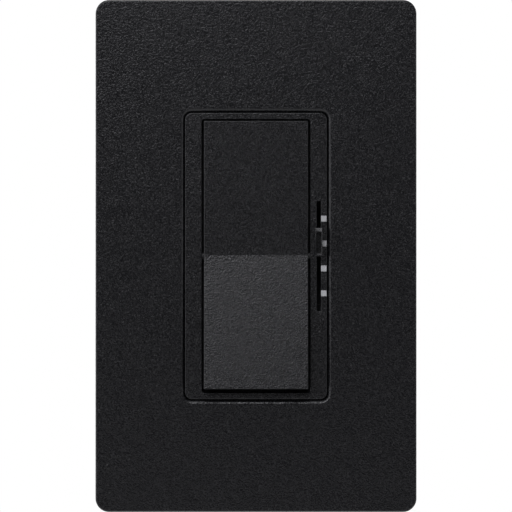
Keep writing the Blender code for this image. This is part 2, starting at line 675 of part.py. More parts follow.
def make_terminal_screws(look):
    """Wire-binding screws that stand in the side recesses."""
    profile = [(1.2, 0.0), (1.45, 0.3), (1.45, 2.7), (3.6, 2.75), (3.6, 4.5), (3.1, 5.0)]
    places = (
        ("traveller_screw_upper", 1, TRAVELLER_Z, "terminal_brass"),
        ("traveller_screw_lower", 1, -TRAVELLER_Z, "terminal_brass"),
        ("common_screw", -1, 0.0, "black_screw"),
    )
    for name, side, z, finish_name in places:
        screw = turned(profile, (side * 15.9, TERMINAL_Y, z), (side, 0, 0))
        cut(screw, block(sorted((side * 20.2, side * 22)), (TERMINAL_Y - 0.4, TERMINAL_Y + 0.4), (z - 3.0, z + 3.0)))
        finish(screw, name, look[finish_name])


def make_switch_base(look):
    """Moulded block that holds the strips, with a well for the see-saw and the plunger."""
    base = block((-9.3, 9.3), (3.4, 22.0), (-14.6, 14.6))
    well = block((-3.6, 3.6), (3.0, 17.5), (-13.4, 13.4))
    cut(base, well)
    for side in (-1, 1):
        strip_z = sorted((side * (CONTACT_Z - 2.3), side * (CONTACT_Z + 2.3)))
        cut(base, block((3.0, 10.0), (3.0, STRIP_BACK + 0.3), strip_z))
        for x_side in (-1, 1):
            cut(base, block(sorted((x_side * 4.8, x_side * 8.0)), (16.0, 23.0), sorted((side * 3.2, side * 13.0))))
    cut(base, block((-10.0, -3.0), (3.0, STRIP_BACK + 0.3), (-2.3, 2.3)))
    finish(base, "switch_base", look["switch_phenolic"])


# ---------------------------------------------------------------- housing

def make_back_housing(look):
    """Deep cup behind the strap: screw posts in the corners and terminal recesses in the sides."""
    wall = HOUSING_WALL
    inner = rounded_rectangle(HOUSING_HALF_WIDTH - wall, HOUSING_HALF_HEIGHT - wall, 1.7)
    outer = rounded_rectangle(HOUSING_HALF_WIDTH, HOUSING_HALF_HEIGHT, 3.5)
    shrunk = rounded_rectangle(HOUSING_HALF_WIDTH - 0.8, HOUSING_HALF_HEIGHT - 0.8, 2.7)
    cup = skin([
        at_depth(inner, HOUSING_BACK - wall), at_depth(inner, HOUSING_FRONT), at_depth(outer, HOUSING_FRONT),
        at_depth(outer, HOUSING_BACK - 0.8), at_depth(shrunk, HOUSING_BACK),
    ])
    for x_side in (-1, 1):
        for z_side in (-1, 1):
            x, z = x_side * HOUSING_SCREW_X, z_side * HOUSING_SCREW_Z
            join(cup, block((x - 3.4, x + 3.4), (HOUSING_FRONT + 0.4, 26.5), sorted((z - z_side * 3.4, z_side * 33))))
            cut(cup, rod_y(1.35, 0, 30, x=x, z=z), rod_y(2.5, HOUSING_SCREW_SEAT, 30, x=x, z=z))
    for side, z in ((1, TRAVELLER_Z), (1, -TRAVELLER_Z), (-1, 0.0)):
        join(cup, block(sorted((side * 15.4, side * 20.9)), (11.0, 26.5), (z - 7.2, z + 7.2)))
        cut(cup, block(sorted((side * 17.0, side * 23)), (12.4, 24.2), (z - 5.6, z + 5.6)),
            rod_x(1.75, *sorted((side * 15, side * 17.5)), y=TERMINAL_Y, z=z),
            rod_y(1.4, 23, 29, x=side * 19.4, z=z, segments=12))
    for side, z in ((1, CONTACT_Z), (1, -CONTACT_Z), (-1, 0.0)):
        cut(cup, block(sorted((side * 15.0, side * 17.3)), (10.0, STRIP_BACK + 0.3), (z - 2.3, z + 2.3)))
    finish(cup, "back_housing", look["housing_grey"])


def make_housing_screws(look):
    """Long screws from the back, through the housing and the strap into the device frame."""
    seat = HOUSING_SCREW_SEAT + 0.15
    profile = [(1.7, 0.0), (2.1, 0.4), (2.1, 1.7), (1.1, 1.72), (1.1, 24.1), (0.8, 24.5)]
    number = 0
    for x in (-HOUSING_SCREW_X, HOUSING_SCREW_X):
        for z in (-HOUSING_SCREW_Z, HOUSING_SCREW_Z):
            number += 1
            screw = turned(profile, (x, seat + 1.7, z), (0, -1, 0), segments=16)
            cut(screw, block((x - 0.3, x + 0.3), (seat + 0.8, seat + 3), (z - 1.4, z + 1.4)),
                block((x - 1.4, x + 1.4), (seat + 0.8, seat + 3), (z - 0.3, z + 0.3)))
            finish(screw, "housing_screw_%d" % number, look["zinc_steel"])


# ---------------------------------------------------------------- circuit board and components

def choke_lead_places():
    """Where the winding's two ends pass through the board, as (x, z)."""
    reach = CHOKE_RADIUS + WINDING_HALF_RADIAL
    places = []
    for angle in (CHOKE_START, CHOKE_START + CHOKE_SWEEP):
        places.append((CHOKE_CENTRE.x + reach * math.cos(angle), CHOKE_CENTRE.z + reach * math.sin(angle)))
    return places


def led_lead_places():
    return [(LED_PLACE[0], LED_PLACE[1] + offset) for offset in (-1.27, 1.27)]


def triac_leg_places():
    return [(index * TRIAC_LEG_PITCH, TRIAC_LEG_Z) for index in (-1, 0, 1)]


def make_circuit_board(look):
    """Board around the switch block, drilled for every lead."""
    outer = rounded_rectangle(BOARD_HALF_WIDTH, BOARD_HALF_HEIGHT, 1.0, steps=2)
    opening = rounded_rectangle(9.7, 15.0, 0.5, steps=2)
    board = skin([
        at_depth(outer, BOARD_BACK), at_depth(outer, BOARD_FRONT),
        at_depth(opening, BOARD_FRONT), at_depth(opening, BOARD_BACK),
    ], closed=True)
    places = [*FILM_CAPACITOR_LEADS, *TIMING_CAPACITOR_LEADS, *RESISTOR_LEADS, *DIAC_LEADS,
              *choke_lead_places(), *led_lead_places(), *triac_leg_places()]
    for x, z in places:
        cut(board, rod_y(LEAD_HOLE_RADIUS, BOARD_FRONT - 1, BOARD_BACK + 1, x=x, z=z, segments=8))
    finish(board, "circuit_board", look["board_green"])


def leads(places, front, radius=0.35):
    return [rod_y(radius, front, LEAD_TAIL, x=x, z=z, segments=8) for x, z in places]


def make_triac(look):
    """Power triac flat against the strap, with its insulating pad and the rivet through its tab."""
    body = bevel(block((-5.0, 5.0), (0.65, 5.0), (16.7, 25.6)), 0.3, is_sharp)
    tab = block((-5.0, 5.0), (0.65, 1.95), (25.0, 31.8))
    join(body, tab)
    cut(body, rod_y(1.8, 0, 3, z=TRIAC_RIVET_Z))
    for x, z in triac_leg_places():
        stub = block((x - 0.4, x + 0.4), (2.5, 3.1), (z - 0.3, 17.5))
        tail = block((x - 0.4, x + 0.4), (2.5, LEAD_TAIL), (z - 0.3, z + 0.3))
        join(body, stub, tail)
    finish(body, "triac", look["epoxy_black"])
    pad = block((-5.4, 5.4), (0.1, 0.5), (16.4, 32.0))
    cut(pad, rod_y(1.5, -1, 1, z=TRIAC_RIVET_Z, segments=16))
    finish(pad, "triac_insulator", look["pad_grey"])
    profile = [(2.0, 0.0), (2.2, 0.1), (2.2, 0.35), (1.25, 0.36), (1.25, 4.1), (2.4, 4.11), (2.4, 4.5), (2.0, 4.8)]
    rivet = turned(profile, (0, -1.95, TRIAC_RIVET_Z), (0, 1, 0), segments=16)
    finish(rivet, "triac_rivet", look["aluminium_strap"])


def make_choke_core(look):
    """Ferrite ring with chamfered edges, its axis along Y."""
    chamfer = 0.3
    section = [
        (CHOKE_HALF_RADIAL, CHOKE_HALF_AXIAL - chamfer), (CHOKE_HALF_RADIAL - chamfer, CHOKE_HALF_AXIAL),
        (chamfer - CHOKE_HALF_RADIAL, CHOKE_HALF_AXIAL), (-CHOKE_HALF_RADIAL, CHOKE_HALF_AXIAL - chamfer),
        (-CHOKE_HALF_RADIAL, chamfer - CHOKE_HALF_AXIAL), (chamfer - CHOKE_HALF_RADIAL, -CHOKE_HALF_AXIAL),
        (CHOKE_HALF_RADIAL - chamfer, -CHOKE_HALF_AXIAL), (CHOKE_HALF_RADIAL, chamfer - CHOKE_HALF_AXIAL),
    ]
    loops = []
    for radial, axial in section:
        loop = []
        for step in range(24):
            angle = 2 * math.pi * step / 24
            reach = CHOKE_RADIUS + radial
            loop.append(CHOKE_CENTRE + Vector((reach * math.cos(angle), axial, reach * math.sin(angle))))
        loops.append(loop)
    finish(skin(loops, closed=True), "choke_core", look["ferrite"])


def make_choke_winding(look):
    """One wire wound round the ring, each turn an octagon, with both ends through the board."""
    a, b, c = WINDING_HALF_RADIAL, WINDING_HALF_AXIAL, WINDING_CORNER
    turn = [(a, c - b), (a, b - c), (a - c, b), (c - a, b), (-a, b - c), (-a, c - b), (c - a, -b), (a - c, -b)]
    steps = CHOKE_TURNS * len(turn)
    points = []
    for index in range(steps + 1):
        radial, axial = turn[index % len(turn)]
        angle = CHOKE_START + CHOKE_SWEEP * index / steps
        reach = CHOKE_RADIUS + radial
        points.append(CHOKE_CENTRE + Vector((reach * math.cos(angle), axial, reach * math.sin(angle))))
    first = Vector((points[0].x, BOARD_FRONT - 0.5, points[0].z))
    last = Vector((points[-1].x, BOARD_FRONT - 0.5, points[-1].z))
    finish(wire([first, *points, last], WINDING_WIRE_RADIUS), "choke_winding", look["winding_copper"])


def make_capacitors(look):
    film = bevel(block((-18.8, -11.2), (1.2, 8.6), (-9.0, 9.0)), 0.5, is_sharp)
    join(film, *leads(FILM_CAPACITOR_LEADS, 8.0))
    finish(film, "film_capacitor", look["capacitor_blue"])
    timing = bevel(block((-17.5, -11.5), (3.4, 8.6), (-19.0, -15.6)), 0.5, is_sharp)
    join(timing, *leads(TIMING_CAPACITOR_LEADS, 8.0))
    finish(timing, "timing_capacitor", look["resistor_tan"])


def make_axial(name, material, places, body_radius, body_length):
    """Axial component lying along Z: a body on a wire that is bent down into the board."""
    (x, low), (_, high) = places
    y = 6.9
    lead = wire([(x, LEAD_TAIL, low), (x, y, low), (x, y, high), (x, LEAD_TAIL, high)], 0.3)
    middle = (low + high) / 2
    half = body_length / 2
    profile = [(body_radius - 0.2, 0.0), (body_radius, 0.3), (body_radius, body_length - 0.3),
               (body_radius - 0.2, body_length)]
    body = turned(profile, (x, y, middle - half), (0, 0, 1), segments=12)
    finish(join(body, lead), name, material)


def make_locator_led(look):
    x, z = LED_PLACE
    profile = [(1.8, 0.0), (1.8, 0.8), (1.5, 0.85), (1.5, 1.9), (1.3, 2.6), (0.8, 3.0)]
    lamp = turned(profile, (x, 8.7, z), (0, -1, 0), segments=16)
    join(lamp, *leads(led_lead_places(), 8.3, radius=0.3))
    finish(lamp, "locator_led", look["led_white"])


def build():
    remove_everything()
    look = make_materials()

    cover_guide = guide("cover_guide", y=0.0)
    make_wallplate(look, cover_guide)
    make_adapter(look)
    make_adapter_screws(look)

    make_yoke(look)
    make_dust_shield(look)
    make_mounting_screws(look)
    make_ground_screw(look)

    make_bezel(look)
    make_light_pipe(look)

    paddle_pivot = guide("paddle_pivot", y=PADDLE_PIVOT_Y, tilt=-PADDLE_SWING / 2)
    make_rocker_paddle(look, paddle_pivot)
    make_plunger(look, paddle_pivot)
    make_plunger_spring(look, paddle_pivot)

    slider_guide = guide("slider_guide", y=0.0)
    make_slider_knob(look, slider_guide)
    make_slider_lever(look, slider_guide)
    make_wiper_contact(look, slider_guide)
    make_slide_control(look)

    fulcrum = guide("fulcrum", y=FULCRUM_Y, tilt=ARM_TILT)
    make_contact_arm(look, fulcrum)
    make_moving_contacts(look, fulcrum)
    make_travellers(look)
    make_common_terminal(look)
    make_terminal_screws(look)
    make_switch_base(look)

    make_back_housing(look)
    make_housing_screws(look)

    make_circuit_board(look)
    make_triac(look)
    make_choke_core(look)
    make_choke_winding(look)
    make_capacitors(look)
    make_axial("resistor", look["resistor_tan"], RESISTOR_LEADS, 1.2, 6.0)
    make_axial("diac", look["diac_glass"], DIAC_LEADS, 0.95, 4.0)
    make_locator_led(look)


build()
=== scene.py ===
"""Looks of the slide dimmer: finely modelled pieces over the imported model, their materials, light and camera.

X runs to the right, Z up, and the front faces -Y.  The back of the cover plate lies on y = 0.
"""

import json
import math

import bmesh
import bpy
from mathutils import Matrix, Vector


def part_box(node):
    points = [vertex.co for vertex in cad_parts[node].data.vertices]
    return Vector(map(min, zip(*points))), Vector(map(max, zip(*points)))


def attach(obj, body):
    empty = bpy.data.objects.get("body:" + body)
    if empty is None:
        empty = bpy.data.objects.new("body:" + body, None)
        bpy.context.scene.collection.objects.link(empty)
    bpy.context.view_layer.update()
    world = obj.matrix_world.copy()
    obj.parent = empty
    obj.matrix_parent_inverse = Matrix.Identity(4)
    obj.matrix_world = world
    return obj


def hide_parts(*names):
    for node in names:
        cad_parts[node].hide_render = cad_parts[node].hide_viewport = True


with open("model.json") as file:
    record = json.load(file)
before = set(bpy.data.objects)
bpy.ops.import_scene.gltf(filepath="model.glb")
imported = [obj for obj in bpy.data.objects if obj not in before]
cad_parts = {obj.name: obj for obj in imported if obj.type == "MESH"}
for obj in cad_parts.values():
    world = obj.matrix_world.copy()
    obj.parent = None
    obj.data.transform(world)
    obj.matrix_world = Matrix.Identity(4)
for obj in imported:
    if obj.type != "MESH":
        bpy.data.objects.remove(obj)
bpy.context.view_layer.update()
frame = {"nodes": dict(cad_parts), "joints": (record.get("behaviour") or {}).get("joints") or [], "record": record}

X, Y, Z = 0, 1, 2
MM = 0.001
CLEAR = 1.0 * MM         # how far a cutter reaches past the surface that it opens
CORNERS = [(side, end) for side in (-1, 1) for end in (-1, 1)]

PLATE_LOW, PLATE_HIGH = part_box("wallplate")
FRAME_LOW, FRAME_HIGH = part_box("bezel")
PLATE_FRONT = PLATE_LOW[Y]
FRAME_FRONT = FRAME_LOW[Y]
FRAME_BACK = FRAME_HIGH[Y]
JOINTS = {joint["name"]: joint for joint in frame["joints"]}
PADDLE_PIVOT = Vector(JOINTS["paddle_rock"]["pos_m"])
PADDLE_SWING = math.radians(JOINTS["paddle_rock"]["range_deg"][1])

# Cover plate
PLATE_CORNER = 3.2 * MM
PLATE_EDGE_ROUND = 0.4 * MM
PLATE_FRONT_WALL = 2.0 * MM
PLATE_SIDE_WALL = 1.8 * MM
PLATE_INNER_CORNER = 1.6 * MM
WINDOW_HALF_WIDTH = 16.75 * MM
WINDOW_HALF_HEIGHT = 33.55 * MM
WINDOW_CORNER = 1.85 * MM
LIP_ROUND = 0.85 * MM
CLIP_RIB_HALF_WIDTH = 0.55 * MM
CLIP_RIB_HALF_LENGTH = 4.0 * MM
CLIP_RIB_DEPTHS = (-4.0 * MM, -0.9 * MM)
CLIP_RIB_Z = 30 * MM
CLIP_RIB_ROUND = 0.2 * MM
STIFFENER_HALF_LENGTH = 33 * MM
STIFFENER_HALF_WIDTH = 0.6 * MM
STIFFENER_DEPTHS = (-5.9 * MM, -4.4 * MM)
STIFFENER_Z = 53.5 * MM
PRY_NOTCH_HALF_WIDTH = 3.5 * MM
PRY_NOTCH_HALF_HEIGHT = 2.0 * MM
PRY_NOTCH_DEPTH = 1.3 * MM

# Device frame
FRAME_CORNER = 1.67 * MM
FRAME_EDGE_ROUND = 0.22 * MM
FACE_WALL = 2.0 * MM
OPENING_HALF_WIDTH = 12.6 * MM
OPENING_HALF_HEIGHT = 31.8 * MM
OPENING_CORNER = 0.6 * MM
OPENING_EDGE_ROUND = 0.16 * MM
SLOT_X = 14.6 * MM
SLOT_HALF_WIDTH = 0.475 * MM
SLOT_HALF_LENGTH = 12.8 * MM
SLOT_EDGE_ROUND = 0.15 * MM
SPINE_POCKET_X = (15.0 * MM, 15.95 * MM)
SPINE_POCKET_Z = (-10.3 * MM, 22.7 * MM)
MARK_PITCH = 5.79 * MM
MARK_HEIGHTS = [MARK_PITCH * (index - 1.5) for index in range(4)]
MARK_HALF_HEIGHT = 0.72 * MM
MARK_PLAY = 0.06 * MM
MARK_WINDOW_X = (15.0 * MM, 17.0 * MM)
PIN_BORE_RADIUS = 1.13 * MM
PIN_BORE_REACH = 13.55 * MM
RELIEF_X = (-15.8 * MM, -13.9 * MM)
RELIEF_Z = 14 * MM
RELIEF_HALF_LENGTH = 10.5 * MM
SCREW_X = 14.6 * MM
SCREW_Z = 29.0 * MM
SCREW_HOLE_RADIUS = 1.3 * MM
SCREW_HOLE_TOP = -6.0 * MM

# Paddle, measured about its pivot
PADDLE_HALF_WIDTH = 12.1 * MM
PADDLE_REACH = 31.45 * MM
PADDLE_FACE = 3.2 * MM
PADDLE_RIM = 1.0 * MM
PADDLE_EDGE_ROUND = 0.18 * MM
PADDLE_POCKET_HALF_WIDTH = 4.9 * MM
PADDLE_POCKET_HALF_LENGTH = 12.6 * MM
PADDLE_POCKET_X = 5.5 * MM
PADDLE_POCKET_Z = 17.2 * MM
PADDLE_POCKET_FLOOR = -1.6 * MM
PADDLE_SHOWN_DEPTH = -2.5 * MM
POST_RADIUS = 3.2 * MM
POST_BORE_RADIUS = 1.95 * MM
POST_BORE_START = 1.2 * MM
POST_LENGTH = 8.0 * MM
PIN_RADIUS = 1.05 * MM
PIN_ENDS = (11.5 * MM, 13.4 * MM)

# Knob
KNOB_STAND_OFF = 0.15 * MM
KNOB_POCKET_HALF_WIDTH = 0.6 * MM
KNOB_POCKET_DEPTH = 1.6 * MM
KNOB_TOP_RIDGE = 0.94 * MM
KNOB_BOTTOM_RIDGE = 0.62 * MM
KNOB_RIDGE_LEAN = 0.2 * MM
KNOB_POCKET_ROUND = 0.26 * MM
KNOB_EDGE_ROUND = 0.1 * MM
PRONG_HALF_WIDTH = 0.3 * MM
PRONG_LENGTH = 1.2 * MM
PRONG_HEIGHTS = (0.9 * MM, 4.5 * MM)
PRONG_ROOT = 0.3 * MM
PRONG_ROUND = 0.08 * MM

# Light pipe
PIPE_X = (15.25 * MM, 15.85 * MM)
PIPE_DEPTHS = (-5.15 * MM, -2.6 * MM)
PIPE_LEG_X = (15.15 * MM, 15.85 * MM)
PIPE_LEG_START = -2.8 * MM
PIPE_LEG_LENGTH = 2.2 * MM
NECK_X = 15.55 * MM
NECK_HALF_WIDTH = 0.3 * MM
NECK_DEPTHS = (-5.6 * MM, -5.0 * MM)
LUG_BACK = -5.4 * MM
LUG_ROUND = 0.12 * MM

# Dust shield
SHIELD_EDGE_ROUND = 0.03 * MM
BULGE_HALF = 3.5 * MM
BULGE_WALL = 0.04 * MM
BULGE_ROUND = 0.1 * MM
RIVET_PLAY = 0.05 * MM

# Screws: (radius, distance from the head) in millimetres
MOUNTING_SCREW = [(1.2, 0.0), (2.3, 0.12), (2.9, 0.5), (3.2, 0.95), (3.3, 1.4), (3.3, 1.8), (1.45, 1.86),
                  (1.45, 26.6), (0.9, 27.4)]
ADAPTER_SCREW = [(2.5, 0.0), (2.55, 0.1), (2.55, 0.25), (1.3, 1.4), (1.3, 7.6), (0.9, 8.1)]
SIDE_SCREW = [(1.2, 0.0), (1.42, 0.3), (1.42, 2.7), (3.5, 2.72), (3.6, 2.85), (3.6, 4.2), (3.35, 4.6),
              (2.6, 4.92), (1.2, 5.0)]
GROUND_SCREW_WASHER = [(3.3, 1.45), (3.4, 1.6), (3.4, 2.1), (1.28, 2.15), (1.28, 4.0), (1.0, 4.2)]
GROUND_SCREW_HEAD = [(2.6, 0.0), (2.95, 0.3), (2.95, 1.5)]
HOUSING_SCREW = [(1.3, 0.0), (1.75, 0.12), (2.05, 0.5), (2.1, 1.0), (2.1, 1.7), (1.1, 1.72), (1.1, 24.1),
                 (0.8, 24.5)]
THREAD_PITCH = 0.79 * MM

# Camera and floor
LENS_MM = 400.0
SENSOR_MM = 36.0
VIEW_HEIGHT = 119.08 * MM
FAR_CLIP = 20.0
FLOOR_RADIUS = 1.5
FLOOR_Z = -0.2


# ---------------------------------------------------------------- modelling helpers

ALONG = 0.99
NEAR = 0.01 * MM
SHARP_ANGLE = math.radians(25)
SOFTEN_ANGLE = math.radians(35)
FLAT_ANGLE = math.radians(0.5)
WELD = 0.002 * MM
THREAD_STEPS = 24


def deselect_all():
    if bpy.context.mode != "OBJECT":
        bpy.ops.object.mode_set(mode="OBJECT")
    bpy.ops.object.select_all(action="DESELECT")


def take(piece):
    """Make one piece the only selected and the active one."""
    deselect_all()
    piece.select_set(True)
    bpy.context.view_layer.objects.active = piece


def settle(piece):
    """Put a piece's place, turn and size into its mesh."""
    take(piece)
    bpy.ops.object.transform_apply(location=True, rotation=True, scale=True)
    return piece


def add_block(name, low, high):
    """Cube primitive stretched between two corners."""
    deselect_all()
    low, high = Vector(low), Vector(high)
    bpy.ops.mesh.primitive_cube_add(size=1.0, location=(low + high) / 2)
    piece = bpy.context.active_object
    piece.name = name
    piece.scale = high - low
    return settle(piece)


def centred_block(name, x, y_range, z, centre=(0.0, 0.0)):
    """Block of half sizes x and z about a centre, between two depths."""
    centre_x, centre_z = centre
    front, back = y_range
    return add_block(name, (centre_x - x, front, centre_z - z), (centre_x + x, back, centre_z + z))


def choose(piece, kind, wanted):
    """Enter edit mode with only the wanted edges or faces selected."""
    take(piece)
    bpy.ops.object.mode_set(mode="EDIT")
    bpy.ops.mesh.select_mode(type=kind)
    bpy.ops.mesh.select_all(action="DESELECT")
    mesh = bmesh.from_edit_mesh(piece.data)
    for item in (mesh.edges if kind == "EDGE" else mesh.faces):
        if wanted(item):
            item.select_set(True)
    mesh.select_flush_mode()
    bmesh.update_edit_mesh(piece.data)


def leave_edit():
    bpy.ops.object.mode_set(mode="OBJECT")


def runs_along(edge, axis):
    run = edge.verts[1].co - edge.verts[0].co
    return abs(run[axis]) > ALONG * run.length


def lies_at(edge, axis, place):
    return all(abs(vert.co[axis] - place) < NEAR for vert in edge.verts)


def is_sharp(edge):
    return edge.calc_face_angle(0.0) > SHARP_ANGLE


def round_edges(piece, width, segments, wanted):
    choose(piece, "EDGE", wanted)
    bpy.ops.mesh.bevel(offset=width, segments=segments, profile=0.5, affect="EDGES")
    leave_edit()
    return piece


def apply_boolean(piece, tools, operation):
    for tool in tools:
        take(piece)
        step = piece.modifiers.new(operation, "BOOLEAN")
        step.operation = operation
        step.solver = "EXACT"
        step.object = tool
        bpy.ops.object.modifier_apply(modifier=step.name)
        bpy.data.objects.remove(tool, do_unlink=True)
    return piece


def carve(piece, *cutters):
    return apply_boolean(piece, cutters, "DIFFERENCE")


def fuse(piece, *additions):
    return apply_boolean(piece, additions, "UNION")


def rounded_cutter(x, y_range, z, corner, segments=10, centre=(0.0, 0.0)):
    """Block with its four edges along Y rounded, to cut a window."""
    cutter = centred_block("cutter", x, y_range, z, centre)
    return round_edges(cutter, corner, segments, lambda edge: runs_along(edge, Y))


def round_bar(name, radius, start, end, sides=48):
    """Cylinder primitive between two points."""
    start, end = Vector(start), Vector(end)
    deselect_all()
    bpy.ops.mesh.primitive_cylinder_add(vertices=sides, radius=radius, depth=(end - start).length)
    bar = bpy.context.active_object
    bar.name = name
    bar.rotation_mode = "QUATERNION"
    bar.rotation_quaternion = (end - start).to_track_quat("Z", "Y")
    bar.location = (start + end) / 2
    return settle(bar)


def turned(name, profile_mm, base, direction, sides=48):
    """Turned piece: a cone for the profile's first step, whose end face is then extruded and resized."""
    profile = [(radius * MM, height * MM) for radius, height in profile_mm]
    (first_radius, first), (radius, height) = profile[:2]
    deselect_all()
    bpy.ops.mesh.primitive_cone_add(vertices=sides, radius1=first_radius, radius2=radius,
                                    depth=height - first, location=(0, 0, (first + height) / 2))
    piece = settle(bpy.context.active_object)
    piece.name = name
    choose(piece, "FACE", lambda face: face.normal.z > ALONG)
    for next_radius, next_height in profile[2:]:
        bpy.ops.mesh.extrude_region_move(TRANSFORM_OT_translate={"value": (0, 0, next_height - height)})
        ratio = next_radius / radius
        bpy.ops.transform.resize(value=(ratio, ratio, 1), center_override=(0, 0, next_height))
        radius, height = next_radius, next_height
    leave_edit()
    piece.rotation_mode = "QUATERNION"
    piece.rotation_quaternion = Vector(direction).to_track_quat("Z", "Y")
    piece.location = base
    return settle(piece)


def helical_ridge(root, crest, base, direction, length):
    """Screw thread: a triangle wound round an axis, its two ends filled."""
    pitch = THREAD_PITCH
    deselect_all()
    bpy.ops.mesh.primitive_circle_add(vertices=3, radius=pitch)
    ridge = bpy.context.active_object
    corners = ((root, 0.0), (crest, 0.45 * pitch), (root, 0.9 * pitch))
    for vert, (radius, height) in zip(ridge.data.vertices, corners):
        vert.co = (radius, 0.0, height)
    wind = ridge.modifiers.new("wind", "SCREW")
    wind.axis = "Z"
    wind.screw_offset = pitch
    wind.iterations = max(1, int(length / pitch) - 1)
    wind.steps = THREAD_STEPS
    wind.render_steps = THREAD_STEPS
    bpy.ops.object.modifier_apply(modifier=wind.name)
    bpy.ops.object.mode_set(mode="EDIT")
    bpy.ops.mesh.select_all(action="SELECT")
    bpy.ops.mesh.fill_holes(sides=3)
    bpy.ops.mesh.normals_make_consistent(inside=False)
    leave_edit()
    ridge.rotation_mode = "QUATERNION"
    ridge.rotation_quaternion = Vector(direction).to_track_quat("Z", "Y")
    ridge.location = base
    return settle(ridge)


def join_pieces(piece, *others):
    """Join meshes that sink into each other into one piece."""
    take(piece)
    for other in others:
        other.select_set(True)
    bpy.ops.object.join()
    return piece


def smooth(piece, degrees=32):
    """Smooth the rounded edges and keep the wide faces flat."""
    take(piece)
    bpy.ops.object.shade_smooth_by_angle(angle=math.radians(degrees))
    weigh = piece.modifiers.new("weigh", "WEIGHTED_NORMAL")
    weigh.keep_sharp = True
    bpy.ops.object.modifier_apply(modifier=weigh.name)
    return piece


def softened_copy(node, width, segments=2):
    """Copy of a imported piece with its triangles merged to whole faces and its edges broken."""
    source = frame["nodes"][node]
    deselect_all()
    piece = bpy.data.objects.new(node + "_finished", source.data.copy())
    bpy.context.scene.collection.objects.link(piece)
    take(piece)
    bpy.ops.object.mode_set(mode="EDIT")
    bpy.ops.mesh.select_all(action="SELECT")
    bpy.ops.mesh.remove_doubles(threshold=WELD)
    bpy.ops.mesh.dissolve_limited(angle_limit=FLAT_ANGLE)
    leave_edit()
    soften = piece.modifiers.new("soften", "BEVEL")
    soften.width = width
    soften.segments = segments
    soften.limit_method = "ANGLE"
    soften.angle_limit = SOFTEN_ANGLE
    soften.use_clamp_overlap = True
    bpy.ops.object.modifier_apply(modifier=soften.name)
    return smooth(piece)


def copy_of(piece, name, shift, half_turn=False):
    """Copy of a finished piece with its own mesh, moved and, if asked, turned half round about Z first."""
    take(piece)
    bpy.ops.object.duplicate(linked=False)
    twin = bpy.context.active_object
    twin.name = name
    if half_turn:
        twin.rotation_mode = "XYZ"
        twin.rotation_euler = (0.0, 0.0, math.pi)
    twin.location = shift
    return settle(twin)


def middle_of(node):
    low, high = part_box(node)
    return (Vector(low) + Vector(high)) / 2


def place(piece, body, material, slot, *nodes):
    """Give a finished piece its material, tie it to a body, and hide the imported nodes that it stands for."""
    piece.data.materials.clear()
    piece.data.materials.append(material)
    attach(piece, body)
    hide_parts(*nodes)


# ---------------------------------------------------------------- materials

EDGE_HIGHLIGHT_WIDTH = 0.35 * MM
GLOSS_SIZE = 1.1
GLOSS_SPREAD = 0.07
GRAIN_SPREAD = 0.08
LEAST_ROUGH = 0.05


def linear(code):
    """sRGB hex to linear colour."""
    channels = [int(code[place:place + 2], 16) / 255 for place in (1, 3, 5)]
    return (*[c / 12.92 if c <= 0.04045 else ((c + 0.055) / 1.055) ** 2.4 for c in channels], 1.0)


def per_metre(size_mm):
    """Texture scale that makes a pattern's features about this size."""
    return 1000.0 / size_mm


def add_node(tree, kind, inputs=None, **settings):
    """Add a node, set its properties, and feed its inputs with values or with other nodes' outputs."""
    made = tree.nodes.new("ShaderNode" + kind)
    for name, value in settings.items():
        setattr(made, name, value)
    for name, value in (inputs or {}).items():
        if isinstance(value, bpy.types.NodeSocket):
            tree.links.new(value, made.inputs[name])
        else:
            made.inputs[name].default_value = value
    return made


def start_material(name):
    """New material: its tree, its shader and the piece's own coordinates."""
    material = bpy.data.materials.new(name)
    material.use_nodes = True
    tree = material.node_tree
    shader = tree.nodes["Principled BSDF"]
    return material, tree, shader, add_node(tree, "TexCoord").outputs["Object"]


